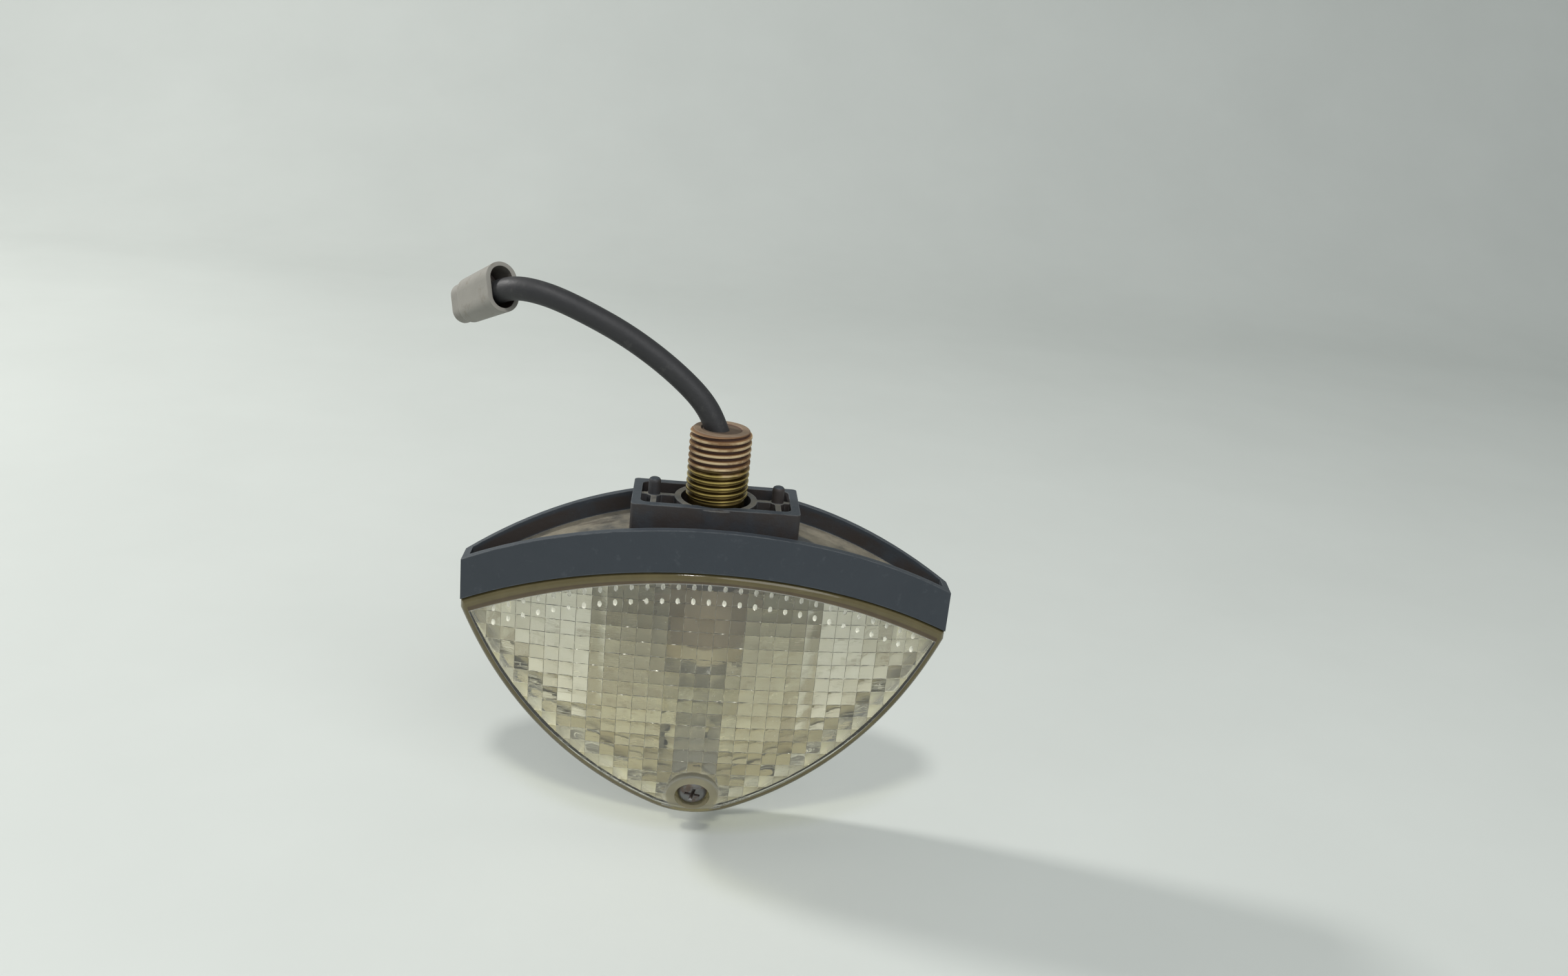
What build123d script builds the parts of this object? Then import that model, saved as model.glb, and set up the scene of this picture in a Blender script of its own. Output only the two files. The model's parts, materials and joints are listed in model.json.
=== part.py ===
from build123d import *
from math import cos, pi, radians, sin, sqrt, tan
import os

# Pendant reversing lamp: an arched plastic body that hangs from one hollow threaded
# stud, with a clear prismatic lens, a bayonet bulb and a short lead with a plug.
# Origin: on the stud's axis, in the plane of the boss rim that seats on the bracket.
# +Z runs up the stud, the lens faces -Y, +X is to the right seen from the lens side.

# ---- driving dimensions, millimetres ----
HALF_WIDTH = 56.2           # body half width, at the tips
FRONT_MID = 15.0            # front face, forward of the stud's axis at the middle
BACK_MID = 16.5             # back face, behind the stud's axis at the middle
TIP_HALF_DEPTH = 3.4        # half depth of the flat at each tip
RIM_MID_Z = -3.1            # top edge of the rim at the middle
ARCH_DROP = 15.3            # fall of the rim from the middle to the tips
BAND_HEIGHT = 9.8           # rim's top edge down to the lens joint
RIM_WALL = 1.8
FLOOR_DROP = 4.6            # top of the recessed floor below the rim's edge
FLOOR_THICK = 2.0

STUD_R = 7.0                # M14 thread, outside
STUD_PITCH = 1.5
STUD_ROOT_R = 6.1
STUD_NECK_R = 6.4           # plain neck below the thread
STUD_TOP = 16.1
STUD_BORE_R = 4.4
STUD_CHAMFER = 0.8
THREAD_FOOT = -0.2          # first crest starts just below the boss rim
GROOVE_HALF_MOUTH = 0.6     # ring groove, half width at the crest and at the root
GROOVE_HALF_ROOT = 0.1
FLANGE_HEX_R = 10.0         # hexagonal flange under the floor, across its corners / 2
FLANGE_THICK = 2.2
FLANGE_ROOM_R = 10.6
FLANGE_ROOM = 2.7
WASHER_THICK = 1.2

BOSS_HALF_X = 18.8
BOSS_HALF_Y = 8.85
BOSS_WALL = 2.0
BOSS_DEPTH = 6.6            # pockets inside the boss
BOSS_SINK = 3.2             # the boss's foot below the top of the floor
BOSS_INNER_R = 1.5
BOSS_OUTER_R = 1.0
COLLAR_R = 9.4
COLLAR_BORE_R = 7.95
RIB_THICK = 1.3
RIB_DROP = 0.35             # ribs and collar sit a little below the boss rim
PIN_X = 14.0
PIN_R = 1.4
PIN_ROOT_R = 1.75
PIN_TOP = 3.5

LENS_SIDE_MID = (37.6, -56.3)   # a point on the side arc of the lens outline
LENS_FOOT = (9.6, -75.9)        # where the side arc meets the bottom arc
LENS_BOTTOM_Z = -78.1
TIP_FLAT = 2.2              # height of the short upright edge at each tip of the lens
TIP_INNER_TAPER = 1.6       # how much nearer the joint the inner faces end at the tips
TIP_Z = RIM_MID_Z - ARCH_DROP - BAND_HEIGHT
JOINT_GAP = 0.15            # lens top edge below the rim's lower edge
LENS_WALL = 2.2
LENS_FACE = 2.4
LENS_EDGE_R = 1.4
FRONT_BULGE_R = 130.0       # lens face, vertical curvature below BULGE_Z
FRONT_BULGE_Z = -38.0
BACK_BULGE_R = 260.0
BACK_BULGE_Z = -28.6
BODY_WALL = 2.0
BACK_EDGE_R = 3.0
GASKET_THICK = 0.8
GASKET_WIDTH = 1.6

SCREW_Y, SCREW_Z = -10.5, -72.1  # screw axis at the lens face
SCREW_TILT = 16.0                # the screw's outer end points this far below level
SCREW_HEAD_R = 3.5
SCREW_HEAD_H = 2.3
SCREW_SHANK_R = 1.45
SCREW_HEAD_ROUND = 1.2
CROSS_LENGTH, CROSS_WIDTH, CROSS_DEPTH = 3.4, 0.75, 1.3
SCREW_LENGTH = 13.0
POCKET_R = 4.15
POCKET_DEPTH = 3.0
SEAT_THICK = 2.2
LENS_BOSS_R = 5.7
POST_R = 6.2

REFLECTOR_Y = 8.0
REFLECTOR_HALF_X = 26.0
REFLECTOR_WING = (50.5, 1.6)
REFLECTOR_THICK = 0.6
REFLECTOR_MARGIN = 0.9      # clear of the lens wall all round

BULB_Y = -1.6
HOLDER_TOP = -18.4
HOLDER_R = 8.5
HOLDER_WALL = 0.7
HOLDER_ROOF = 0.8
HOLDER_LENGTH = 15.0
HOLDER_HOLE_R = 3.2         # for the live wire, in the roof and in the bracket's strap
SLOT_LEVEL_WIDTH = 2.6      # bayonet slot: the level leg and the leg down to the mouth
SLOT_LEG_WIDTH = 2.7
STRAP_WIDTH = 11.0
STRAP_FRONT = -5.0
BRACKET_THICK = 0.8
BRACKET_PLATE = (22.0, 11.0)
RIVET_X = 8.6
RIVET_R = 1.9
DISC_THICK = 1.2
PLUNGER_R = 1.5
PLUNGER_HEAD_R = 2.2
PLUNGER_HEAD_THICK = 0.6
PLUNGER_LENGTH = 3.4
CAP_R = 7.45
CAP_TOP = -22.4
CAP_LENGTH = 15.4
CAP_WALL = 0.5
CAP_ROOF = 0.6
CAP_ROUND = 1.2
INSULATOR_R = 3.4
CONTACT_R = 2.0
CONTACT_PROUD = 0.7         # tip of the bulb's contact above the cap
GLASS_WALL = 0.7
GLASS_NECK_R = 5.2
GLASS_R = 9.2
GLASS_BOTTOM = -57.2
BAYONET_Z = -30.0
BAYONET_R = 1.0
BAYONET_OUT = 8.7
TWIST_DEG = 20.0
FILAMENT_HALF = 2.9
FILAMENT_R = 0.4
FILAMENT_DROP = 10.4        # below the cap's lower edge
SUPPORT_X = 2.6
SUPPORT_R = 0.3
WIRE_R = 0.7

CABLE_R = 2.6
CABLE_ROUTE = [
    (-0.2, 0.0, 13.6), (-1.8, 0.2, 17.6), (-4.8, 0.6, 22.1), (-10.0, 1.0, 26.8), (-16.2, 1.4, 31.3),
    (-23.1, 1.8, 35.4), (-30.6, 2.0, 38.9), (-37.1, 2.0, 41.5), (-41.6, 2.5, 42.6), (-45.7, 4.0, 42.8),
    (-49.3, 6.4, 41.9), (-52.0, 9.6, 40.1),
]
MOUTH_INSET = 3.4           # how far the sheath runs into the plug
PLUG_DROP = 0.7             # the sheath lies this far below the middle of the mouth
PLUG_ROLL = 5.0             # the plug's twist about its own length
CONNECTOR_LENGTH = 15.5
CONNECTOR_TALL, CONNECTOR_WIDE = 11.2, 7.6
MOUTH_TALL, MOUTH_WIDE = 9.4, 5.4
CAVITY_DEPTH = 7.0
NOSE_TALL, NOSE_WIDE, NOSE_LENGTH = 9.0, 5.6, 2.6
WAY_X = 2.5                 # each contact's way through the plug, beside its middle
WAY_R = 1.6
CORE_X = 1.3                # where each core leaves the sheath
CORE_R = 0.8

os.makedirs("parts", exist_ok=True)


def write(part, name):
    """Label one finished piece and write its STEP file."""
    part.label = name
    export_step(part, f"parts/{name}.step")


def bow(x, mid, end, half=HALF_WIDTH):
    """Height at x of the circular arc through (0, mid) and (half, end)."""
    sag = mid - end
    radius = (half * half + sag * sag) / (2 * sag)
    return mid - (radius - sqrt(radius * radius - x * x))


def arched_block(inset, top_mid, bottom_mid):
    """The eye-shaped plan, inset by its wall, between two parallel arched surfaces."""
    with BuildPart() as block:
        with BuildSketch(Plane.XY.offset(10)):
            with BuildLine():
                ThreePointArc((-HALF_WIDTH, -TIP_HALF_DEPTH), (0, -FRONT_MID), (HALF_WIDTH, -TIP_HALF_DEPTH))
                Line((HALF_WIDTH, -TIP_HALF_DEPTH), (HALF_WIDTH, TIP_HALF_DEPTH))
                ThreePointArc((HALF_WIDTH, TIP_HALF_DEPTH), (0, BACK_MID), (-HALF_WIDTH, TIP_HALF_DEPTH))
                Line((-HALF_WIDTH, TIP_HALF_DEPTH), (-HALF_WIDTH, -TIP_HALF_DEPTH))
            make_face()
            if inset:
                offset(amount=-inset, kind=Kind.INTERSECTION, mode=Mode.REPLACE)
        extrude(amount=-60)
        with BuildSketch(Plane.XZ):
            with BuildLine():
                top, bottom = top_mid - ARCH_DROP, bottom_mid - ARCH_DROP
                ThreePointArc((-HALF_WIDTH, top), (0, top_mid), (HALF_WIDTH, top))
                Line((HALF_WIDTH, top), (HALF_WIDTH, bottom))
                ThreePointArc((HALF_WIDTH, bottom), (0, bottom_mid), (-HALF_WIDTH, bottom))
                Line((-HALF_WIDTH, bottom), (-HALF_WIDTH, top))
            make_face()
        extrude(amount=40, both=True, mode=Mode.INTERSECT)
    return block.part


def shield_face(inset, gap=JOINT_GAP):
    """The lens outline seen from the front, drawn on the XZ plane at Y = 0."""
    top_mid = RIM_MID_Z - BAND_HEIGHT - gap
    side_top = TIP_Z - TIP_FLAT
    with BuildSketch(Plane.XZ) as face:
        with BuildLine():
            ThreePointArc((-HALF_WIDTH, TIP_Z - gap), (0, top_mid), (HALF_WIDTH, TIP_Z - gap))
            Line((HALF_WIDTH, TIP_Z - gap), (HALF_WIDTH, side_top))
            ThreePointArc((HALF_WIDTH, side_top), LENS_SIDE_MID, LENS_FOOT)
            ThreePointArc(LENS_FOOT, (0, LENS_BOTTOM_Z), (-LENS_FOOT[0], LENS_FOOT[1]))
            side_mid = (-LENS_SIDE_MID[0], LENS_SIDE_MID[1])
            ThreePointArc((-LENS_FOOT[0], LENS_FOOT[1]), side_mid, (-HALF_WIDTH, side_top))
            Line((-HALF_WIDTH, side_top), (-HALF_WIDTH, TIP_Z - gap))
        make_face()
        if inset:
            offset(amount=-inset, kind=Kind.INTERSECTION, mode=Mode.REPLACE)
    return face.sketch


def shield_prism(inset, y_low, y_high, gap=JOINT_GAP):
    """The lens outline as a prism between two depths."""
    with BuildPart() as prism:
        add(shield_face(inset, gap).moved(Location((0, y_high, 0))))
        extrude(amount=y_high - y_low, dir=(0, -1, 0))
    return prism.part


def bulge(side, mid, tip, radius, start_z):
    """All that lies inside a bowed face: side -1 is the lens face, side +1 the back."""
    reach = HALF_WIDTH + 3
    edge = bow(reach, mid, tip)
    with BuildPart() as solid:
        with BuildSketch(Plane.XY.offset(start_z)) as plan:
            with BuildLine():
                ThreePointArc((-reach, side * edge), (0, side * mid), (reach, side * edge))
                Polyline((reach, side * edge), (reach, -side * 30), (-reach, -side * 30), (-reach, side * edge))
            make_face()
        extrude(plan.sketch, amount=60)
        turn_axis = Axis((0, side * (mid - radius), start_z), (-side, 0, 0))
        revolve(plan.sketch, axis=turn_axis, revolution_arc=40 if radius < 200 else 20)
    return solid.part


def round_edge(part, edges, radius):
    """Fillet as large as the geometry takes, stepping down from the wanted radius."""
    for share in (1.0, 0.75, 0.5):
        try:
            rounded = part.fillet(radius * share, edges)
            if rounded.is_valid:
                return rounded
        except Exception:
            continue
    return part


def outline_edges(part, y_joint):
    """Edges round the bowed face: neither in the joint plane nor along Y."""
    loose = [e for e in part.edges() if abs(e.center().Y - y_joint) > 0.3 or e.bounding_box().size.Y > 0.5]
    return [e for e in loose if abs(e.tangent_at(0.5).Y) < 0.9]


# ---- screw axis, shared by the lens, its screw and the post ----
tilt = radians(SCREW_TILT)
screw_plane = Plane(origin=(0, SCREW_Y, SCREW_Z), x_dir=(1, 0, 0), z_dir=(0, cos(tilt), sin(tilt)))


def along_screw(depth):
    """The plane square to the screw, that far in from the lens face."""
    return screw_plane.offset(depth)


# ---- housing ----
rear_solid = shield_prism(0, 0, 30, gap=-2.0) & bulge(1, BACK_MID, TIP_HALF_DEPTH, BACK_BULGE_R, BACK_BULGE_Z)
rear_rim = [e for e in outline_edges(rear_solid, 0) if e.center().Z < -32]
rear_solid = round_edge(rear_solid, rear_rim, BACK_EDGE_R)
floor_under = RIM_MID_Z - FLOOR_DROP - FLOOR_THICK
hollow_gap = RIM_MID_Z - BAND_HEIGHT - BODY_WALL - floor_under
rear_hollow = shield_prism(BODY_WALL, -1, 30, gap=hollow_gap) & bulge(
    1, BACK_MID - BODY_WALL, TIP_HALF_DEPTH - TIP_INNER_TAPER, BACK_BULGE_R, BACK_BULGE_Z)
web_space = arched_block(RIM_WALL, floor_under, RIM_MID_Z - BAND_HEIGHT - 12)
arched_body = arched_block(0, RIM_MID_Z, RIM_MID_Z - BAND_HEIGHT)
recess = arched_block(RIM_WALL, RIM_MID_Z + 5, RIM_MID_Z - FLOOR_DROP)
web = shield_prism(0, 0, BODY_WALL, gap=-4.0) - shield_prism(LENS_WALL, -1, BODY_WALL + 1)

with BuildPart() as post_blank:
    with BuildSketch(along_screw(POCKET_DEPTH + SEAT_THICK + 0.1)):
        Circle(POST_R)
    extrude(amount=32)
post = post_blank.part & (rear_solid + shield_prism(LENS_WALL + 0.3, -12, 1))

with BuildPart() as housing:
    add(arched_body)
    add(web_space, mode=Mode.SUBTRACT)
    add(rear_solid - rear_hollow)
    add(web)
    add(recess, mode=Mode.SUBTRACT)
    # boss: a walled box that stands on the floor, with a collar and ribs inside
    boss_foot = RIM_MID_Z - FLOOR_DROP - BOSS_SINK
    with BuildSketch(Plane.XY.offset(boss_foot)):
        RectangleRounded(2 * BOSS_HALF_X, 2 * BOSS_HALF_Y, BOSS_OUTER_R)
    extrude(amount=-boss_foot)
    with BuildSketch(Plane.XY):
        RectangleRounded(2 * (BOSS_HALF_X - BOSS_WALL), 2 * (BOSS_HALF_Y - BOSS_WALL), BOSS_INNER_R)
    extrude(amount=-BOSS_DEPTH, mode=Mode.SUBTRACT)
    with BuildSketch(Plane.XY.offset(-BOSS_DEPTH)):
        Circle(COLLAR_R)
        Rectangle(2 * (BOSS_HALF_X - 1), RIB_THICK)
        with Locations((PIN_X, 0), (-PIN_X, 0)):
            Rectangle(RIB_THICK, 2 * (BOSS_HALF_Y - 1))
    extrude(amount=BOSS_DEPTH - RIB_DROP)
    with BuildSketch(Plane.XY):
        Circle(COLLAR_BORE_R)
    extrude(amount=-BOSS_DEPTH, mode=Mode.SUBTRACT)
    # locating pins with domed ends, each on a thicker root that ends level with the ribs
    with BuildSketch(Plane.XY.offset(-BOSS_DEPTH)):
        with Locations((PIN_X, 0), (-PIN_X, 0)):
            Circle(PIN_ROOT_R)
    extrude(amount=BOSS_DEPTH - RIB_DROP)
    with BuildSketch(Plane.XY.offset(-RIB_DROP)):
        with Locations((PIN_X, 0), (-PIN_X, 0)):
            Circle(PIN_R)
    extrude(amount=RIB_DROP + PIN_TOP)
    fillet(housing.edges().group_by(Axis.Z)[-1], radius=PIN_R * 0.6)
    # hole for the stud's neck, and room under the floor for its flange
    with BuildSketch(Plane.XY.offset(-1)):
        Circle(STUD_NECK_R + 0.05)
    extrude(amount=-14, mode=Mode.SUBTRACT)
    with BuildSketch(Plane.XY.offset(floor_under)):
        Circle(FLANGE_ROOM_R)
    extrude(amount=-FLANGE_ROOM, mode=Mode.SUBTRACT)
    add(post)
    # pilot hole for the lens screw
    with BuildSketch(along_screw(POCKET_DEPTH)):
        Circle(SCREW_SHANK_R + 0.05)
    extrude(amount=SCREW_LENGTH + 1.5, mode=Mode.SUBTRACT)
write(housing.part, "housing")

# ---- lens, an open shell with a flat joint face ----
lens_back = -GASKET_THICK
lens_outer = shield_prism(0, -30, lens_back) & bulge(-1, FRONT_MID, TIP_HALF_DEPTH, FRONT_BULGE_R, FRONT_BULGE_Z)
lens_outer = round_edge(lens_outer, outline_edges(lens_outer, lens_back), LENS_EDGE_R)
lens_inner = shield_prism(LENS_WALL, -30, 2) & bulge(
    -1, FRONT_MID - LENS_FACE, TIP_HALF_DEPTH - TIP_INNER_TAPER, FRONT_BULGE_R, FRONT_BULGE_Z)
with BuildPart() as seat_blank:
    with BuildSketch(along_screw(-2)):
        Circle(LENS_BOSS_R)
    extrude(amount=POCKET_DEPTH + SEAT_THICK + 2)
with BuildPart() as lens:
    add(lens_outer)
    add(lens_inner, mode=Mode.SUBTRACT)
    add(seat_blank.part & lens_outer)
    with BuildSketch(along_screw(-4)):
        Circle(POCKET_R)
    extrude(amount=POCKET_DEPTH + 4, mode=Mode.SUBTRACT)
    with BuildSketch(along_screw(0)):
        Circle(SCREW_SHANK_R + 0.35)
    extrude(amount=POCKET_DEPTH + SEAT_THICK + 1, mode=Mode.SUBTRACT)
write(lens.part, "lens")

with BuildPart() as gasket:
    add(shield_prism(0.3, -GASKET_THICK, 0))
    add(shield_prism(0.3 + GASKET_WIDTH, -GASKET_THICK - 1, 1), mode=Mode.SUBTRACT)
write(gasket.part, "lens_gasket")

# ---- lens screw: pan head with a cross recess ----
with BuildPart() as lens_screw:
    head_top = POCKET_DEPTH - SCREW_HEAD_H
    with BuildSketch(along_screw(head_top)):
        Circle(SCREW_HEAD_R)
    extrude(amount=SCREW_HEAD_H)
    outward = Axis((0, 0, 0), (0, -cos(tilt), -sin(tilt)))
    fillet(lens_screw.edges().sort_by(outward)[-1], radius=SCREW_HEAD_ROUND)
    with BuildSketch(along_screw(POCKET_DEPTH)):
        Circle(SCREW_SHANK_R)
    extrude(amount=SCREW_LENGTH)
    with BuildSketch(along_screw(head_top)):
        Rectangle(CROSS_LENGTH, CROSS_WIDTH)
        Rectangle(CROSS_WIDTH, CROSS_LENGTH)
    extrude(amount=CROSS_DEPTH, mode=Mode.SUBTRACT)
write(lens_screw.part, "lens_screw")

# ---- reflector: one bent sheet, flat in the middle with a wing each side ----
with BuildPart() as reflector:
    with BuildSketch(Plane.XY.offset(LENS_BOTTOM_Z)):
        with BuildLine() as fold:
            wing_x, wing_y = REFLECTOR_WING
            Polyline((-wing_x, wing_y), (-REFLECTOR_HALF_X, REFLECTOR_Y),
                     (REFLECTOR_HALF_X, REFLECTOR_Y), (wing_x, wing_y))
            Polyline((wing_x, wing_y), (wing_x, wing_y + REFLECTOR_THICK),
                     (REFLECTOR_HALF_X, REFLECTOR_Y + REFLECTOR_THICK),
                     (-REFLECTOR_HALF_X, REFLECTOR_Y + REFLECTOR_THICK),
                     (-wing_x, wing_y + REFLECTOR_THICK), (-wing_x, wing_y))
        make_face()
    extrude(amount=70)
    add(shield_prism(LENS_WALL + REFLECTOR_MARGIN, -1, 20), mode=Mode.INTERSECT)
    with BuildSketch(along_screw(0)):
        Circle(POST_R + 0.4)
    extrude(amount=35, mode=Mode.SUBTRACT)
write(reflector.part, "reflector")

# ---- threaded stud: ring grooves stand for the thread, hollow for the cable ----
flange_top = floor_under - 0.02
with BuildPart() as stud:
    with BuildSketch(Plane.XY.offset(flange_top - FLANGE_THICK)):
        RegularPolygon(FLANGE_HEX_R, 6)
    extrude(amount=FLANGE_THICK)
    with BuildSketch(Plane.XY.offset(flange_top)):
        Circle(STUD_NECK_R)
    extrude(amount=THREAD_FOOT - flange_top)
    with BuildSketch(Plane.XY.offset(THREAD_FOOT)):
        Circle(STUD_R)
    extrude(amount=STUD_TOP - THREAD_FOOT)
    chamfer(stud.edges().group_by(Axis.Z)[-1], length=STUD_CHAMFER)
    with BuildSketch(Plane.XZ):
        groove_z = THREAD_FOOT + STUD_PITCH
        while groove_z < STUD_TOP - STUD_CHAMFER:
            with BuildLine():
                mouth, root = GROOVE_HALF_MOUTH, GROOVE_HALF_ROOT
                Polyline((STUD_R + 0.1, groove_z - mouth), (STUD_ROOT_R, groove_z - root),
                         (STUD_ROOT_R, groove_z + root), (STUD_R + 0.1, groove_z + mouth), close=True)
            make_face()
            groove_z += STUD_PITCH
    revolve(axis=Axis.Z, mode=Mode.SUBTRACT)
    with BuildSketch(Plane.XY.offset(STUD_TOP)):
        Circle(STUD_BORE_R)
    extrude(amount=-40, mode=Mode.SUBTRACT)
write(stud.part, "threaded_stud")

with BuildPart() as washer:
    with BuildSketch(Plane.XY.offset(-BOSS_DEPTH)):
        Circle(COLLAR_BORE_R - 0.15)
        Circle(STUD_NECK_R, mode=Mode.SUBTRACT)
    extrude(amount=WASHER_THICK)
write(washer.part, "stud_retaining_washer")

with BuildPart() as plug:
    with BuildSketch(Plane.XY.offset(flange_top - FLANGE_THICK)):
        Circle(STUD_BORE_R)
    extrude(amount=STUD_TOP - 0.3 - (flange_top - FLANGE_THICK))
    # the cable's seat, along its first run
    start, second = Vector(CABLE_ROUTE[0]), Vector(CABLE_ROUTE[1])
    with BuildSketch(Plane(origin=start, z_dir=second - start)):
        Circle(CABLE_R)
    extrude(amount=8, mode=Mode.SUBTRACT)
write(plug.part, "potting_plug")

# ---- cable: straight runs joined by tangent arcs ----
corners = [Vector(p) for p in CABLE_ROUTE]
radii = []
for before, corner, after in zip(corners, corners[1:], corners[2:]):
    turn = radians((corner - before).get_angle(after - corner))
    run = min((corner - before).length, (after - corner).length)
    radii.append(0.45 * run / tan(turn / 2))
print("cable arc radii", [round(r, 1) for r in radii], "diameter", 2 * CABLE_R)
with BuildPart() as cable:
    with BuildLine() as route:
        FilletPolyline(*CABLE_ROUTE, radius=radii)
    with BuildSketch(Plane(origin=corners[0], z_dir=corners[1] - corners[0])):
        Circle(CABLE_R)
    sweep(path=route.wires()[0])
length = sum(e.length for e in route.edges())
section = pi * CABLE_R**2
print("cable length", round(length, 1), "volume ratio", round(cable.part.volume / (length * section), 4))
write(cable.part, "cable")

# ---- connector, lying along the cable's last run ----
plug_dir = (corners[-1] - corners[-2]).normalized()
side_dir = Vector(0, 0, 1).cross(plug_dir).normalized()
roll = radians(PLUG_ROLL)
tall_dir = plug_dir.cross(side_dir) * cos(roll) - side_dir * sin(roll)
mouth = corners[-1] - plug_dir * MOUTH_INSET + tall_dir * PLUG_DROP
mouth_plane = Plane(origin=mouth, x_dir=tall_dir, z_dir=plug_dir)
with BuildPart() as connector:
    with BuildSketch(mouth_plane):
        SlotOverall(CONNECTOR_TALL, CONNECTOR_WIDE)
    extrude(amount=CONNECTOR_LENGTH, taper=2)
    far_end = connector.faces().sort_by(Axis(mouth, plug_dir))[-1]
    fillet(far_end.edges(), radius=1.6)
    with BuildSketch(mouth_plane.offset(CONNECTOR_LENGTH - 1)):
        SlotOverall(NOSE_TALL, NOSE_WIDE)
    extrude(amount=NOSE_LENGTH + 1)
    with BuildSketch(mouth_plane):
        SlotOverall(MOUTH_TALL, MOUTH_WIDE)
    extrude(amount=CAVITY_DEPTH, mode=Mode.SUBTRACT)
    with BuildSketch(mouth_plane):
        with Locations((WAY_X, 0), (-WAY_X, 0)):
            Circle(WAY_R)
    extrude(amount=CONNECTOR_LENGTH + NOSE_LENGTH + 1, mode=Mode.SUBTRACT)
write(connector.part, "connector_housing")

with BuildPart() as terminals:
    with BuildSketch(mouth_plane.offset(CAVITY_DEPTH + 1)):
        with Locations((WAY_X, 0), (-WAY_X, 0)):
            Circle(WAY_R)
            Circle(WAY_R - 0.5, mode=Mode.SUBTRACT)
    extrude(amount=CONNECTOR_LENGTH + NOSE_LENGTH - CAVITY_DEPTH - 1.6)
write(terminals.part, "connector_terminals")

with BuildPart() as cores:
    for side in (1, -1):
        start_x = side * CORE_X - PLUG_DROP
        bend = [(start_x, MOUTH_INSET), (start_x, MOUTH_INSET + 1),
                (side * WAY_X, MOUTH_INSET + 3.2), (side * WAY_X, CAVITY_DEPTH + 3)]
        bend = [mouth_plane.from_local_coords((across, 0, depth)) for across, depth in bend]
        with BuildLine() as core_route:
            FilletPolyline(*bend, radius=0.9)
        with BuildSketch(Plane(origin=bend[0], z_dir=plug_dir)):
            Circle(CORE_R)
        sweep(path=core_route.wires()[0])
write(cores.part, "connector_cores")

# ---- bulb holder: a bayonet shell that hangs below the stud, open downwards ----
with BuildPart() as holder:
    with BuildSketch(Plane.XY.offset(HOLDER_TOP)):
        with Locations((0, BULB_Y)):
            Circle(HOLDER_R)
    extrude(amount=-HOLDER_LENGTH)
    with BuildSketch(Plane.XY.offset(HOLDER_TOP - HOLDER_ROOF)):
        with Locations((0, BULB_Y)):
            Circle(HOLDER_R - HOLDER_WALL)
    extrude(amount=-HOLDER_LENGTH, mode=Mode.SUBTRACT)
    with BuildSketch(Plane.XY.offset(HOLDER_TOP)):
        with Locations((0, BULB_Y)):
            Circle(HOLDER_HOLE_R)
    extrude(amount=-2, mode=Mode.SUBTRACT)
    # bayonet slots: a level leg that the pin turns through and a leg down to the mouth
    for facing in (0, 180):
        slot_plane = Plane(origin=(0, BULB_Y, BAYONET_Z), x_dir=(0, 0, 1),
                           z_dir=(cos(radians(facing)), sin(radians(facing)), 0))
        leg_side = HOLDER_R * sin(radians(TWIST_DEG))
        with BuildSketch(slot_plane):
            with Locations((0, -leg_side / 2)):
                Rectangle(SLOT_LEVEL_WIDTH, leg_side + SLOT_LEG_WIDTH)
            with Locations((-4, -leg_side)):
                Rectangle(8, SLOT_LEG_WIDTH)
        extrude(amount=HOLDER_R + 2, mode=Mode.SUBTRACT)
write(holder.part, "bulb_holder")

# bracket: a strap on the holder's top with a plate that is riveted to the reflector
plate_z = HOLDER_TOP + BRACKET_THICK - BRACKET_PLATE[1] / 2
with BuildPart() as bracket:
    with BuildSketch(Plane.XY.offset(HOLDER_TOP)):
        with Locations((0, (STRAP_FRONT + REFLECTOR_Y) / 2)):
            Rectangle(STRAP_WIDTH, REFLECTOR_Y - STRAP_FRONT)
        with Locations((0, BULB_Y)):
            Circle(HOLDER_HOLE_R, mode=Mode.SUBTRACT)
    extrude(amount=BRACKET_THICK)
    with BuildSketch(Plane.XZ.offset(-REFLECTOR_Y)):
        with Locations((0, plate_z)):
            Rectangle(*BRACKET_PLATE)
    extrude(amount=BRACKET_THICK)
write(bracket.part, "holder_bracket")

with BuildPart() as rivets:
    with BuildSketch(Plane.XZ.offset(BRACKET_THICK - REFLECTOR_Y)):
        with Locations((-RIVET_X, plate_z - 1.8), (RIVET_X, plate_z - 1.8)):
            Circle(RIVET_R)
    extrude(amount=0.8)
write(rivets.part, "bracket_rivets")

# insulating disc with the sprung centre contact
disc_top = HOLDER_TOP - HOLDER_ROOF
plunger_foot = CAP_TOP + CONTACT_PROUD
with BuildPart() as disc:
    with BuildSketch(Plane.XY.offset(disc_top)):
        with Locations((0, BULB_Y)):
            Circle(HOLDER_R - HOLDER_WALL)
            Circle(PLUNGER_R + 0.1, mode=Mode.SUBTRACT)
    extrude(amount=-DISC_THICK)
write(disc.part, "contact_disc")

with BuildPart() as plunger:
    with BuildSketch(Plane.XY.offset(plunger_foot)):
        with Locations((0, BULB_Y)):
            Circle(PLUNGER_HEAD_R)
    extrude(amount=PLUNGER_HEAD_THICK)
    with BuildSketch(Plane.XY.offset(plunger_foot + PLUNGER_HEAD_THICK)):
        with Locations((0, BULB_Y)):
            Circle(PLUNGER_R)
    extrude(amount=PLUNGER_LENGTH)
write(plunger.part, "contact_plunger")

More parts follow.
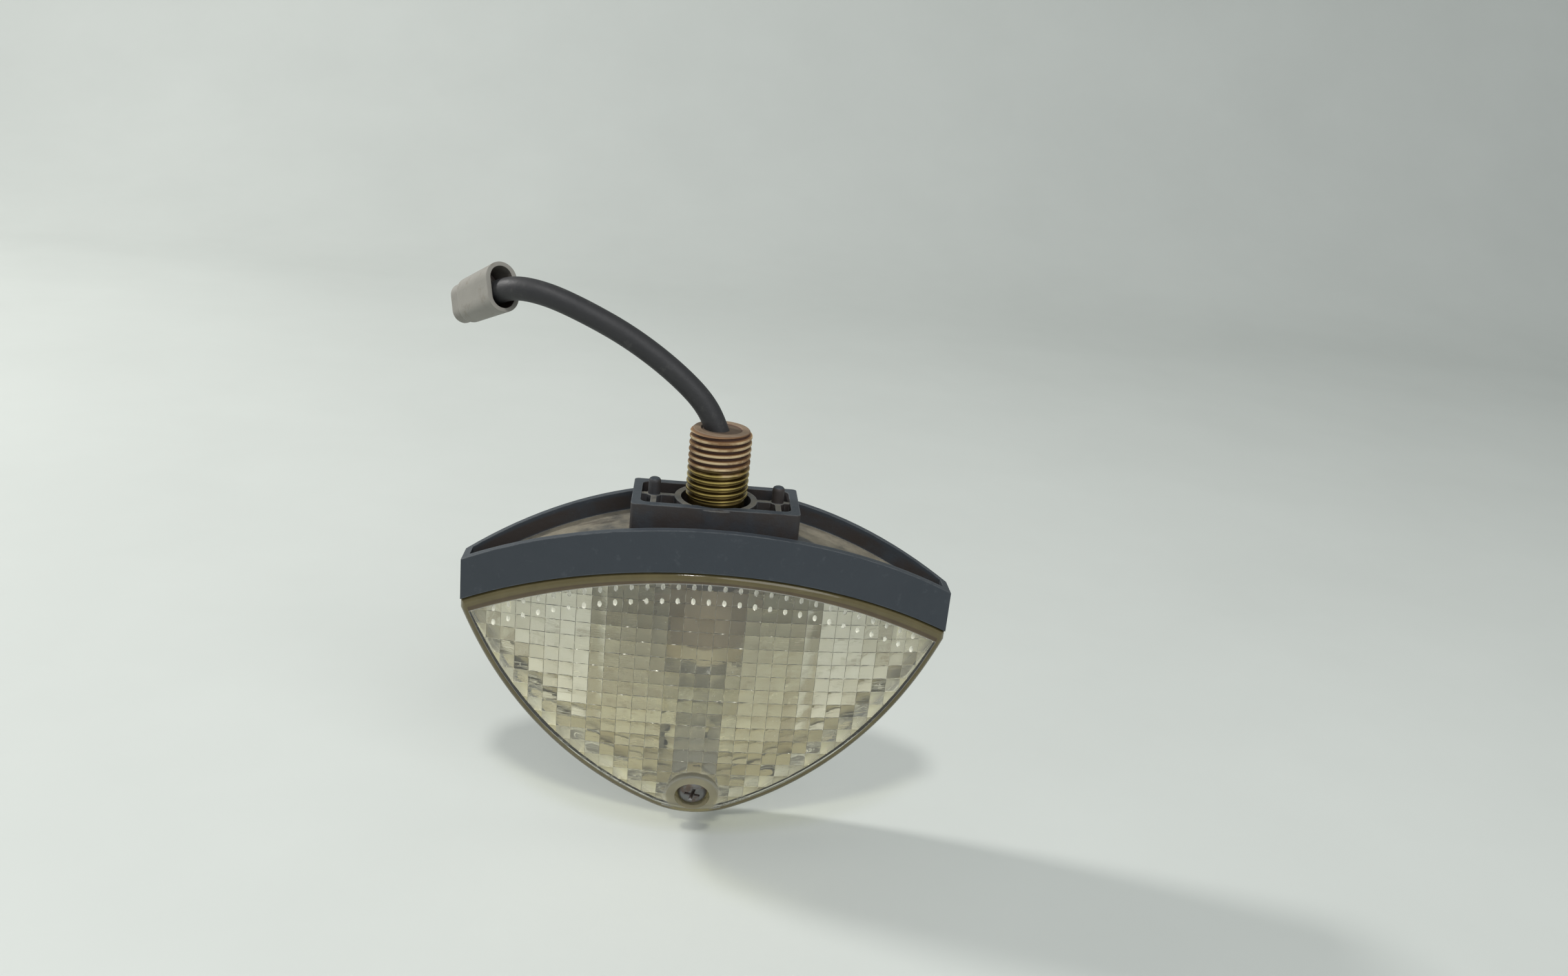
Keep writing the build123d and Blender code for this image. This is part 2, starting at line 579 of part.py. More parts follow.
# ---- bulb ----
with BuildPart() as cap:
    with BuildSketch(Plane.XY.offset(CAP_TOP)):
        with Locations((0, BULB_Y)):
            Circle(CAP_R)
    extrude(amount=-CAP_LENGTH)
    fillet(cap.edges().group_by(Axis.Z)[-1], radius=CAP_ROUND)
    with BuildSketch(Plane.XY.offset(CAP_TOP - CAP_ROOF)):
        with Locations((0, BULB_Y)):
            Circle(CAP_R - CAP_WALL)
    extrude(amount=-CAP_LENGTH, mode=Mode.SUBTRACT)
    with BuildSketch(Plane.XY.offset(CAP_TOP)):
        with Locations((0, BULB_Y)):
            Circle(INSULATOR_R)
    extrude(amount=-1, mode=Mode.SUBTRACT)
    pin_plane = Plane(origin=(0, BULB_Y, BAYONET_Z), z_dir=(1, 0, 0))
    for reach in (1, -1):
        with BuildSketch(pin_plane.offset(reach * (CAP_R - 0.3))):
            Circle(BAYONET_R)
        extrude(amount=reach * (BAYONET_OUT - CAP_R + 0.3))
write(cap.part, "bulb_cap")

with BuildPart() as insulator:
    with BuildSketch(Plane.XY.offset(CAP_TOP - 1)):
        with Locations((0, BULB_Y)):
            Circle(INSULATOR_R)
    extrude(amount=1.2, taper=20)
    with BuildSketch(Plane.XY.offset(CAP_TOP - 1.5)):
        with Locations((0, BULB_Y)):
            Circle(CONTACT_R)
    extrude(amount=5, mode=Mode.SUBTRACT)
write(insulator.part, "bulb_insulator")

with BuildPart() as contact:
    with BuildSketch(Plane.XY.offset(CAP_TOP - 1.4)):
        with Locations((0, BULB_Y)):
            Circle(CONTACT_R)
    extrude(amount=1.4 + CONTACT_PROUD)
    fillet(contact.edges().group_by(Axis.Z)[-1], radius=0.5)
write(contact.part, "bulb_contact")

glass_neck_z = CAP_TOP - CAP_LENGTH
globe_z = GLASS_BOTTOM + GLASS_R


def glass_body(shrink, top_z):
    """The bulb's envelope as a solid of revolution, smaller by its wall inside."""
    neck, globe = GLASS_NECK_R - shrink, GLASS_R - shrink
    dip = globe * sin(radians(45))
    with BuildPart() as body:
        with BuildSketch(Plane.XZ.offset(-BULB_Y)):
            with BuildLine():
                Polyline((0, top_z), (neck, top_z), (neck, glass_neck_z + 0.4))
                Spline((neck, glass_neck_z + 0.4), (globe, globe_z + 1), tangents=((0, -1), (0, -1)))
                Line((globe, globe_z + 1), (globe, globe_z))
                ThreePointArc((globe, globe_z), (dip, globe_z - dip), (0, globe_z - globe))
                Line((0, globe_z - globe), (0, top_z))
            make_face()
        revolve(axis=Axis((0, BULB_Y, 0), (0, 0, 1)))
    return body.part


with BuildPart() as glass:
    add(glass_body(0, glass_neck_z + 8))
    add(glass_body(GLASS_WALL, glass_neck_z + 9), mode=Mode.SUBTRACT)
write(glass.part, "bulb_glass")

with BuildPart() as supports:
    with BuildSketch(Plane.XY.offset(glass_neck_z + 2)):
        with Locations((SUPPORT_X, BULB_Y), (-SUPPORT_X, BULB_Y)):
            Circle(SUPPORT_R)
    extrude(amount=-12)
    with BuildSketch(Plane.XY.offset(glass_neck_z - 0.6)):
        with Locations((0, BULB_Y)):
            Rectangle(2 * SUPPORT_X + 1.4, 1.6)
    extrude(amount=-1.4)
write(supports.part, "filament_supports")

with BuildPart() as filament:
    with BuildSketch(Plane.YZ.offset(-FILAMENT_HALF)):
        with Locations((BULB_Y, glass_neck_z - FILAMENT_DROP)):
            Circle(FILAMENT_R)
    extrude(amount=2 * FILAMENT_HALF)
write(filament.part, "bulb_filament")

# ---- wires from the stud's bore to the holder ----
wire_top = flange_top - FLANGE_THICK


def wire(points, radius):
    """One insulated wire along a bent route."""
    with BuildPart() as strand:
        with BuildLine() as bent:
            FilletPolyline(*points, radius=radius)
        with BuildSketch(Plane(origin=points[0], z_dir=(0, 0, -1))):
            Circle(WIRE_R)
        sweep(path=bent.wires()[0])
    return strand.part


live_x = 2.35
write(wire([(1.3, 3.2, wire_top), (1.3, 3.2, -15.6), (live_x, 0.4, -16.7), (live_x, BULB_Y, disc_top + 1.2),
            (live_x, BULB_Y, disc_top)], [1.0, 1.0, 0.4]), "live_wire")
strap_top = HOLDER_TOP + BRACKET_THICK
write(wire([(-1.3, 3.2, wire_top), (-1.3, 3.2, -15.2), (-3.4, 4.8, strap_top + WIRE_R + 0.05)], 1.0), "earth_wire")
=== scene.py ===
"""Vehicle reversing lamp with a yellowed prismatic lens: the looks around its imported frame.

Lengths below are millimetres in the part's frame, as in the CAD: the stud's axis is Z, the lens
faces -Y, and the boss rim lies in Z = 0. MM turns them into Blender's metres.
"""

import json
import math
from contextlib import contextmanager

import bmesh
import bpy
import numpy as np
from mathutils import Matrix, Vector, noise
from mathutils.geometry import delaunay_2d_cdt


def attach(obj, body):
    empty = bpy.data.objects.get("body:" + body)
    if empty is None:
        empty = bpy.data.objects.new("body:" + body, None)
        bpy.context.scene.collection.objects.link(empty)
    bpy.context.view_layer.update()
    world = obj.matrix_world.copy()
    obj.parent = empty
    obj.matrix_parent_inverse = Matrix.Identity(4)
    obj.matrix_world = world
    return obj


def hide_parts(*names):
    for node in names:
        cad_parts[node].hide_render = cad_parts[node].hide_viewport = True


MM = 0.001
WELD = 1e-7  # metres
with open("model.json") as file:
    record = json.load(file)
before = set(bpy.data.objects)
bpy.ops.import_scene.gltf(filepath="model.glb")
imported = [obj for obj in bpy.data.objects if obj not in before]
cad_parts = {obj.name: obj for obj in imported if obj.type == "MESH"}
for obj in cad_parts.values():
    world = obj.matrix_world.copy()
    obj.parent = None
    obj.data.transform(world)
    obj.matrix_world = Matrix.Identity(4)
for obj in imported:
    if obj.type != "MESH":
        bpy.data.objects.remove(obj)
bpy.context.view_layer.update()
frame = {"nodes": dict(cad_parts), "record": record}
nodes = frame["nodes"]

# ---- sizes shared with the CAD ----
HALF_WIDTH = 56.2
RIM_MID_Z, ARCH_DROP, BAND_HEIGHT = -3.1, 15.3, 9.8
FRONT_MID, TIP_HALF_DEPTH = 15.0, 3.4
FLOOR_DROP = 4.6  # from the rim down to the floor of the recess
BOSS_HALF_X, BOSS_HALF_Y = 18.8, 8.85
JOINT_GAP = 0.15  # between the rim band and the lens
TIP_FLAT = 2.2  # the lens's upright edge at each tip
LENS_SIDE_MID, LENS_FOOT, LENS_BOTTOM_Z = (37.6, -56.3), (9.6, -75.9), -78.1
LENS_WALL, LENS_FACE, LENS_EDGE_R, LENS_BACK = 2.2, 2.4, 1.4, -0.8
BORDER = 1.9  # the olive border round the lens face
TIP_INNER_TAPER = 1.6  # the face's thickness at the tips
BULGE_R, BULGE_Z = 130.0, -38.0  # the face curls back in this arc below this height
SCREW_Y, SCREW_Z, SCREW_TILT = -10.5, -72.1, 16.0
POCKET_R, POCKET_DEPTH, SEAT_THICK, HOLE_R = 4.15, 3.0, 2.2, 1.8
COLLAR_START, COLLAR_R, COLLAR_FOOT_R = 1.3, 6.6, 5.7  # the boss round the screw's pocket
STUD_R, STUD_ROOT_R, STUD_NECK_R, STUD_BORE_R = 7.0, 6.1, 6.4, 4.4
STUD_PITCH, STUD_TOP, THREAD_FOOT, STUD_CHAMFER, NECK_FILLET = 1.5, 16.1, -0.2, 0.8, 0.3
FLANGE_TOP, FLANGE_THICK, FLANGE_HEX_R = -9.72, 2.2, 10.0
SCREW_LENGTH, SCREW_HEAD_R, SCREW_HEAD_H, SCREW_HEAD_ROUND = 13.0, 3.5, 2.3, 1.2
SCREW_SHANK_R, SCREW_CORE_R, SCREW_PITCH, SCREW_TURN = 1.45, 1.05, 1.3, 12
CROSS_LENGTH, CROSS_WIDTH, CROSS_DEPTH = 3.4, 0.75, 1.3
FLOOR_GAP = 8.6  # the lens drops this much as it comes away along its screw
CABLE_R = 2.6
CABLE_ROUTE = [
    (-0.2, 0.0, 13.6), (-1.8, 0.2, 17.6), (-4.8, 0.6, 22.1), (-10.0, 1.0, 26.8), (-16.2, 1.4, 31.3),
    (-23.1, 1.8, 35.4), (-30.6, 2.0, 38.9), (-37.1, 2.0, 41.5), (-41.6, 2.5, 42.6), (-45.7, 4.0, 42.8),
    (-49.3, 6.4, 41.9), (-52.0, 9.6, 40.1),
]


# ---- small helpers


def add_object(name, data):
    obj = bpy.data.objects.new(name, data)
    bpy.context.scene.collection.objects.link(obj)
    return obj


def mesh_object(name, verts_mm, faces):
    """A smooth mesh object from points in millimetres."""
    mesh = bpy.data.meshes.new(name)
    mesh.from_pydata([tuple(c * MM for c in v) for v in verts_mm], [], faces)
    mesh.validate()
    mesh.shade_smooth()
    return add_object(name, mesh)


@contextmanager
def edited(mesh):
    """A bmesh that is written back to its mesh at the end."""
    work = bmesh.new()
    work.from_mesh(mesh)
    yield work
    work.to_mesh(mesh)
    work.free()


def polar(radius, angle):
    return radius * math.cos(angle), radius * math.sin(angle)


def sharp_by_angle(obj, degrees):
    """Smooth shading that breaks at edges sharper than this."""
    limit = math.radians(degrees)
    with edited(obj.data) as work:
        bmesh.ops.recalc_face_normals(work, faces=work.faces)
        for edge in work.edges:
            edge.smooth = len(edge.link_faces) == 2 and edge.calc_face_angle(0) < limit
        for face in work.faces:
            face.smooth = True


def band(last, ring):
    """Faces between two rings of vertices."""
    count = len(ring)
    return [(last[k], last[(k + 1) % count], ring[(k + 1) % count], ring[k]) for k in range(count)]


def tube_of_rings(rings):
    """The points of successive rings, and the faces between them and over both ends."""
    count = len(rings[0])
    loops = [range(k * count, (k + 1) * count) for k in range(len(rings))]
    faces = [face for last, ring in zip(loops, loops[1:]) for face in band(last, ring)]
    return [p for ring in rings for p in ring], faces + [tuple(loops[0][::-1]), tuple(loops[-1])]


def apply_boolean(obj, cutter, operation):
    """Join or cut a closed mesh with another, then drop the other."""
    modifier = obj.modifiers.new("cut", "BOOLEAN")
    modifier.object = cutter
    modifier.operation = operation
    modifier.solver = "EXACT"
    bpy.context.view_layer.update()
    graph = bpy.context.evaluated_depsgraph_get()
    result = bpy.data.meshes.new_from_object(obj.evaluated_get(graph))
    obj.modifiers.clear()
    obj.data = result
    bpy.data.objects.remove(cutter)


# ---- lens geometry


def circle_through(a, b, c):
    """Centre and radius of the circle through three points in a plane."""
    rows = np.array([[2 * (p[0] - a[0]), 2 * (p[1] - a[1])] for p in (b, c)])
    right = np.array([p[0] ** 2 + p[1] ** 2 - a[0] ** 2 - a[1] ** 2 for p in (b, c)])
    centre = np.linalg.solve(rows, right)
    return centre, float(np.hypot(*(np.array(a) - centre)))


TIP_Z = RIM_MID_Z - ARCH_DROP - BAND_HEIGHT
TOP_MID_Z = RIM_MID_Z - BAND_HEIGHT - JOINT_GAP
TOP_CIRCLE = circle_through((-HALF_WIDTH, TIP_Z - JOINT_GAP), (0, TOP_MID_Z),
                            (HALF_WIDTH, TIP_Z - JOINT_GAP))
SIDE_CIRCLE = circle_through((HALF_WIDTH, TIP_Z - TIP_FLAT), LENS_SIDE_MID, LENS_FOOT)
FOOT_CIRCLE = circle_through(LENS_FOOT, (0, LENS_BOTTOM_Z), (-LENS_FOOT[0], LENS_FOOT[1]))


def foot_corner(inset):
    """Where the inset side arc meets the inset foot arc."""
    (ax, az), ra = SIDE_CIRCLE[0], SIDE_CIRCLE[1] - inset
    (bx, bz), rb = FOOT_CIRCLE[0], FOOT_CIRCLE[1] - inset
    apart = math.hypot(bx - ax, bz - az)
    along = (ra * ra - rb * rb + apart * apart) / (2 * apart)
    across = math.sqrt(max(ra * ra - along * along, 0))
    ux, uz = (bx - ax) / apart, (bz - az) / apart
    return max((ax + along * ux + side * across * uz, az + along * uz - side * across * ux)
               for side in (1, -1))


class Outline:
    """The lens outline inset by some width. A place on it is a stretch and a share of that stretch:
    0 the top arc, 1 a tip, 2 a side arc, 3 the foot arc, 4 the other side arc, 5 the other tip."""

    def __init__(self, inset):
        self.tip_x = HALF_WIDTH - inset
        self.top_z, self.top_r = TOP_CIRCLE[0][1], TOP_CIRCLE[1] - inset
        (self.side_x, self.side_z), self.side_r = SIDE_CIRCLE[0], SIDE_CIRCLE[1] - inset
        self.foot_z, self.foot_r = FOOT_CIRCLE[0][1], FOOT_CIRCLE[1] - inset
        self.tip_high = self.top_z + math.sqrt(self.top_r**2 - self.tip_x**2)
        self.tip_low = self.side_z - math.sqrt(self.side_r**2 - (self.tip_x - self.side_x) ** 2)
        self.corner = foot_corner(inset)
        self.side_from = math.atan2(self.tip_low - self.side_z, self.tip_x - self.side_x)
        self.side_to = math.atan2(self.corner[1] - self.side_z, self.corner[0] - self.side_x)
        self.foot_from = math.atan2(self.corner[1] - self.foot_z, self.corner[0])
        self.foot_to = -math.pi - self.foot_from

    def point(self, stretch, share):
        if stretch > 3:
            x, z = self.point(6 - stretch, 1 - share)
            return -x, z
        if stretch == 0:
            x = self.tip_x * (2 * share - 1)
            return x, self.top_z + math.sqrt(self.top_r**2 - x * x)
        if stretch == 1:
            return self.tip_x, self.tip_high + (self.tip_low - self.tip_high) * share
        if stretch == 2:
            x, z = polar(self.side_r, self.side_from + (self.side_to - self.side_from) * share)
            return self.side_x + x, self.side_z + z
        x, z = polar(self.foot_r, self.foot_from + (self.foot_to - self.foot_from) * share)
        return x, self.foot_z + z

    def place(self, x, z):
        """The stretch and share of a point that lies on this outline or on one of its chords."""
        if x < 0:
            stretch, share = self.place(-x, z)
            return (stretch if stretch in (0, 3) else 6 - stretch), 1 - share
        if z >= self.tip_high:
            return 0, min((x / self.tip_x + 1) / 2, 1)
        if z >= self.tip_low:
            return 1, (z - self.tip_high) / (self.tip_low - self.tip_high)
        if z >= self.corner[1]:
            angle = math.atan2(z - self.side_z, x - self.side_x)
            share = (angle - self.side_from) / (self.side_to - self.side_from)
            return 2, min(max(share, 0), 1)
        angle = math.atan2(z - self.foot_z, x)
        return 3, min(max((angle - self.foot_from) / (self.foot_to - self.foot_from), 0), 1)

    def depth_in(self, x, z):
        """How far in from this outline each point lies. The foot arc counts only below its corners."""
        side = self.side_r - np.hypot(np.abs(x) - self.side_x, z - self.side_z)
        foot = np.where(z < self.corner[1], self.foot_r - np.hypot(x, z - self.foot_z), np.inf)
        top, tip = self.top_r - np.hypot(x, z - self.top_z), self.tip_x - np.abs(x)
        return np.minimum(np.minimum(top, tip), np.minimum(side, foot))

    def loop(self):
        """Points all the way round, this many to each stretch."""
        counts = (170, 4, 110, 40, 110, 4)
        return [self.point(k, n / count) for k, count in enumerate(counts) for n in range(count)]


def face_depth(x, z, mid, tip):
    """Y of the bowed face: an arc in plan that turns about a level axis below BULGE_Z."""
    sag = mid - tip
    plan_r = (HALF_WIDTH**2 + sag**2) / (2 * sag)
    forward = mid - (plan_r - np.sqrt(plan_r**2 - x**2))
    below = np.minimum(z - BULGE_Z, 0)
    reach = BULGE_R - mid + forward
    return (BULGE_R - mid) - np.sqrt(reach**2 - below**2)


def outer_depth(x, z):
    return face_depth(x, z, FRONT_MID, TIP_HALF_DEPTH)


def inner_depth(x, z):
    return face_depth(x, z, FRONT_MID - LENS_FACE, TIP_HALF_DEPTH - TIP_INNER_TAPER)


# the optics: square pillows on the inside of the face
CELL_W, CELL_H = 3.43, 3.42
ROW_TOP = -24.5  # a row line's height at the middle
ROW_ARCH = 0.0008  # rows fall to the sides by this times x squared
PILLOW_R = 6.5
PILLOW_STEPS = 6
PILLOW_STAND = 0.3  # a pillow's corners stand this far in from the plain face
GROOVE_HALF, GROOVE_DEPTH = 0.06, 0.05
CELL_TILT = 0.06  # a cell's largest tilt: the mould was cut cell by cell
OPTIC_TOP_MID, OPTIC_TOP_FALL = -15.9, 0.0052
OPTIC_STEP = 0.08  # the pillows end over this height at the optics' upper edge
LINE_REACH, LINE_LOW, LINE_HIGH = 57.5, -80.0, -10.0  # past the outline
FACE_STEP = 2.5  # between the points of the plain outer face
PIP_R, PIP_TALL, PIP_DROP = 0.5, 1.6, 1.2  # moulded pips in the top two rows of cells

# the masks that the lens's look reads, by how far in from the outline a cell's middle lies
WALL_YELLOW = 0.15  # how much of the edge's yellow the wall behind it has
TOP_CELLS = 5.5  # the top rows' middles are this near the optics' upper edge
RING_IN, RING_WIDTH = 9.5, 3.2  # a ring of cells that differ more
SHADE_MEAN, SHADE_SWING, SHADE_LEAST = 0.25, 0.9, 0.25
FROSTED_LIGHT_IN, FROSTED_LIGHT_FADE = 7.2, 2.0  # pale, cloudy cells along the edge, as painted light
FROSTED_LIGHT_MEAN, FROSTED_LIGHT_SWING, FROSTED_LIGHT_LEAST = 0.62, 0.3, 0.3
FROSTED_LIGHT_EDGE, FROSTED_LIGHT_SLANT, FROSTED_LIGHT_THIN = 0.7, 0.8, 0.15  # it grows across a cell
FROSTED_LIGHT_CLEAR_X = 44.0  # the top rows have none this near the middle


def optic_top(x):
    return OPTIC_TOP_MID - OPTIC_TOP_FALL * x * x


def scatter(column, row, salt):
    """A repeatable number from -1 to 1 for one cell."""
    wave = np.sin(column * 127.1 + row * 311.7 + salt * 74.7) * 43758.5453
    return 2 * (wave - np.floor(wave)) - 1


def cell_at(x, z):
    """The column and row of a point's cell, and how far across and up it the point is, -0.5 to 0.5."""
    along = x / CELL_W + 0.5
    up = (z + ROW_ARCH * x * x - ROW_TOP) / CELL_H
    column, row = np.floor(along), np.floor(up)
    return column, row, along - column - 0.5, up - row - 0.5


def pillow(x, z):
    """How far the optics stand in from the plain inner face."""
    column, row, across, rise = cell_at(x, z)
    across, rise = across * CELL_W, rise * CELL_H
    corner = (CELL_W**2 + CELL_H**2) / (8 * PILLOW_R)
    height = PILLOW_STAND + corner - (across**2 + rise**2) / (2 * PILLOW_R)
    height += CELL_TILT * (scatter(column, row, 1) * across + scatter(column, row, 2) * rise)
    in_groove = ((CELL_W / 2 - np.abs(across) < GROOVE_HALF / 2)
                 | (CELL_H / 2 - np.abs(rise) < GROOVE_HALF / 2))
    height = np.where(in_groove, PILLOW_STAND - GROOVE_DEPTH, height)
    return np.where(z < optic_top(x) + OPTIC_STEP / 8, height, 0.0)


def triangulated(loop, lines):
    """Triangles that fill a closed loop in the XZ plane and follow the lines that cross it."""
    points = [Vector(p) for p in loop]
    edges = []
    for line in lines:
        first = len(points)
        points += [Vector(p) for p in line]
        edges += [(first + k, first + k + 1) for k in range(len(line) - 1)]
    turning = sum(a[0] * b[1] - b[0] * a[1] for a, b in zip(loop, loop[1:] + loop[:1]))
    inside = [tuple(range(len(loop)))[:: 1 if turning > 0 else -1]]
    verts, _, faces, _, _, owners = delaunay_2d_cdt(points, edges, inside, 0, 1e-6)
    keep = [tuple(face) for face, owner in zip(faces, owners) if owner]
    used = sorted({i for face in keep for i in face})
    renumber = {old: new for new, old in enumerate(used)}
    return [tuple(verts[i]) for i in used], [tuple(renumber[i] for i in face) for face in keep]


def boundary_loop(faces):
    """The vertices round the rim of a triangulated disc, in order."""
    once = {}
    for face in faces:
        for a, b in zip(face, face[1:] + face[:1]):
            if not once.pop((b, a), False):
                once[(a, b)] = True
    following = {a: b for a, b in once}
    start = next(iter(following))
    loop, here = [start], following[start]
    while here != start:
        loop.append(here)
        here = following[here]
    return loop


def optic_lines():
    """The lines that the pillows' facets follow: upright columns, arched rows and their upper edge."""
    reach = np.linspace(-LINE_REACH, LINE_REACH, 93)
    inner = [n / PILLOW_STEPS for n in range(1, PILLOW_STEPS)]
    in_width = [0, GROOVE_HALF / CELL_W] + inner + [1 - GROOVE_HALF / CELL_W]
    in_height = [0, GROOVE_HALF / CELL_H] + inner + [1 - GROOVE_HALF / CELL_H]
    columns = [CELL_W * (k + 0.5 + share) for k in range(-17, 17) for share in in_width]
    rows = [ROW_TOP + CELL_H * (k + share) for k in range(-16, 4) for share in in_height]
    lines = [[(x, LINE_LOW), (x, LINE_HIGH)] for x in columns]
    lines += [[(x, row - ROW_ARCH * x * x) for x in reach] for row in rows]
    lines += [[(x, optic_top(x) + gap) for x in reach] for gap in (0, OPTIC_STEP)]
    return lines


def plain_points(edge):
    """Single points spread over the inside of an outline."""
    across = [FACE_STEP * (k + 0.5) for k in range(-23, 23)]
    down = [LINE_HIGH - FACE_STEP * k for k in range(28)]
    return [[(x, z)] for x in across for z in down if edge.depth_in(x, z) > 0]


SIDEWAYS = Vector((1, 0, 0))
SCREW_IN = Vector((0, *polar(1, math.radians(SCREW_TILT))))
SCREW_UP = SCREW_IN.cross(SIDEWAYS)
SCREW_MOUTH = Vector((0, SCREW_Y, SCREW_Z))


def along_screw(profile):
    """Rings round the screw's axis from a list of (depth from the lens face, radius)."""
    spokes = []
    for k in range(64):
        across, rise = polar(1, 2 * math.pi * k / 64)
        spokes.append(SIDEWAYS * across + SCREW_UP * rise)
    return [[tuple(SCREW_MOUTH + SCREW_IN * depth + spoke * radius) for spoke in spokes]
            for depth, radius in profile]


def turned_on_screw(name, profile):
    obj = mesh_object(name, *tube_of_rings(along_screw(profile)))
    sharp_by_angle(obj, 30)
    return obj


def build_pips():
    """Small half-round pips inside the face, one in each cell of the top two rows."""
    room, mesh = Outline(LENS_WALL + 1.0), bpy.data.meshes.new("pips")
    spots = [(k * CELL_W, optic_top(k * CELL_W) - PIP_DROP - row * CELL_H)
             for k in range(-14, 15) for row in (0, 1)]
    with edited(mesh) as work:
        for x, z in spots:
            if room.depth_in(x, z) < 0:
                continue
            y = float(inner_depth(x, z) + pillow(x, z))
            place = Matrix.Translation((x * MM, y * MM, z * MM)) @ Matrix.Diagonal((1, 1, PIP_TALL, 1))
            bmesh.ops.create_icosphere(work, subdivisions=2, radius=PIP_R * MM, matrix=place)
    return add_object("pips", mesh)


def paint_masks(lens):
    """Writes the masks that the lens's look reads: border, cell (painted shade), frosted_light (painted
    light) and pip_glint (painted glints).
    """
    x, y, z = (np.array([v.co[k] for v in lens.data.vertices]) / MM for k in range(3))
    depth_in = Outline(0).depth_in(x, z)
    border = (depth_in < BORDER - 0.1) & (y < outer_depth(x, z) + LENS_EDGE_R + 0.1)
    wall = depth_in < 0.05
    proud = y - inner_depth(x, z) - pillow(x, z)
    below_top = z < optic_top(x)
    on_optics = (np.abs(proud) < 0.05) & below_top
    column, row, across, rise = cell_at(x, z)
    middle_x, middle_z = column * CELL_W, ROW_TOP + (row + 0.5) * CELL_H - ROW_ARCH * x * x
    cell_depth = Outline(0).depth_in(middle_x, middle_z)
    near_top = optic_top(middle_x) - middle_z < TOP_CELLS
    # painted shade: a darker tint on cells at random, most in a ring in from the edge and least in the top
    # rows, for the light and dark seen through the prisms
    ring = np.exp(-((cell_depth - RING_IN) / RING_WIDTH) ** 2)
    shade = np.clip(SHADE_MEAN + scatter(column, row, 3) * SHADE_SWING, 0, 1)
    shade *= np.where(near_top, SHADE_LEAST, SHADE_LEAST + (1 - SHADE_LEAST) * ring)
    # painted light: pale, cloudy cells along the edge, lighter towards the upper corner of each nearer the
    # middle
    frosted_light = np.clip((FROSTED_LIGHT_IN - cell_depth) / FROSTED_LIGHT_FADE, 0, 1)
    frosted_light *= np.clip(FROSTED_LIGHT_MEAN + FROSTED_LIGHT_SWING * scatter(column, row, 4), FROSTED_LIGHT_LEAST, 1)
    frosted_light *= np.clip(FROSTED_LIGHT_EDGE + FROSTED_LIGHT_SLANT * (rise - np.sign(x) * across), FROSTED_LIGHT_THIN, 1)
    frosted_light = np.where(near_top & (np.abs(x) < FROSTED_LIGHT_CLEAR_X), 0.0, frosted_light)
    # the pips in the top two rows, which carry painted glints
    glint_pips = (proud > 0.15) & below_top & (z > optic_top(x) - 2.5 * CELL_H)
    masks = {"border": np.maximum(border, wall * WALL_YELLOW), "cell": on_optics * shade,
             "frosted_light": on_optics * frosted_light, "pip_glint": glint_pips}
    for name, values in masks.items():
        attribute = lens.data.attributes.new(name, "FLOAT", "POINT")
        attribute.data.foreach_set("value", values.astype(float))


def build_lens():
    """The closed lens shell: a smooth face outside, prism pillows inside, and the screw's pocket."""
    inner = Outline(LENS_WALL)
    flat, faces = triangulated(inner.loop(), optic_lines())
    x, z = np.array(flat).T
    verts = list(zip(x, inner_depth(x, z) + pillow(x, z), z))
    last = boundary_loop(faces)
    places = [inner.place(*flat[k]) for k in last]
    # rings back along the inner wall, out over the joint, and forward round the rounded edge
    steps = [(LENS_WALL, None), (0.0, None)]
    steps += [(LENS_EDGE_R * (1 - math.cos(math.radians(90 * k / 7))), LENS_EDGE_R) for k in range(8)]
    steps += [(BORDER - 0.15, 0), (BORDER, 0)]
    for inset, radius in steps:
        edge = Outline(inset)
        ring = []
        for place in places:
            px, pz = edge.point(*place)
            if radius is None:
                py = LENS_BACK
            else:
                rise = max(radius - inset, 0)
                py = float(outer_depth(px, pz)) + radius - math.sqrt(radius**2 - rise**2)
            ring.append(len(verts))
            verts.append((px, py, pz))
        faces += band(last, ring)
        last = ring
    # the smooth outer face, filled inside the last ring
    loop = [edge.point(*place) for place in places]
    flat, outer_faces = triangulated(loop, plain_points(Outline(BORDER + 1.2)))
    first = len(verts)
    verts += [(px, float(outer_depth(px, pz)), pz) for px, pz in flat]
    faces += [tuple(first + k for k in face) for face in outer_faces]
    lens = mesh_object("lens_shell", verts, faces)
    with edited(lens.data) as work:
        bmesh.ops.remove_doubles(work, verts=work.verts, dist=WELD)
        bmesh.ops.recalc_face_normals(work, faces=work.faces)
    foot = POCKET_DEPTH + SEAT_THICK
    collar = [(COLLAR_START, COLLAR_R), (foot, COLLAR_FOOT_R)]
    apply_boolean(lens, turned_on_screw("boss", collar), "UNION")
    apply_boolean(lens, turned_on_screw("pocket", [(-4, POCKET_R), (POCKET_DEPTH, POCKET_R)]), "DIFFERENCE")
    apply_boolean(lens, turned_on_screw("hole", [(1, HOLE_R), (foot + 2, HOLE_R)]), "DIFFERENCE")
    apply_boolean(lens, build_pips(), "UNION")
    sharp_by_angle(lens, 14)
    paint_masks(lens)
    return lens


# ---- turned and threaded parts

# a thread's section: share of the pitch, and how far down from crest to root
THREAD_PHASES = [
    (0.0, 0), (0.09, 0), (0.15, 0.04), (0.19, 0.25), (0.27, 0.6), (0.35, 0.95), (0.41, 1), (0.5, 1),
    (0.59, 1), (0.65, 0.95), (0.73, 0.6), (0.81, 0.25), (0.85, 0.04), (0.91, 0),
]
THREAD_WEAR = 0.035  # dents in the crests


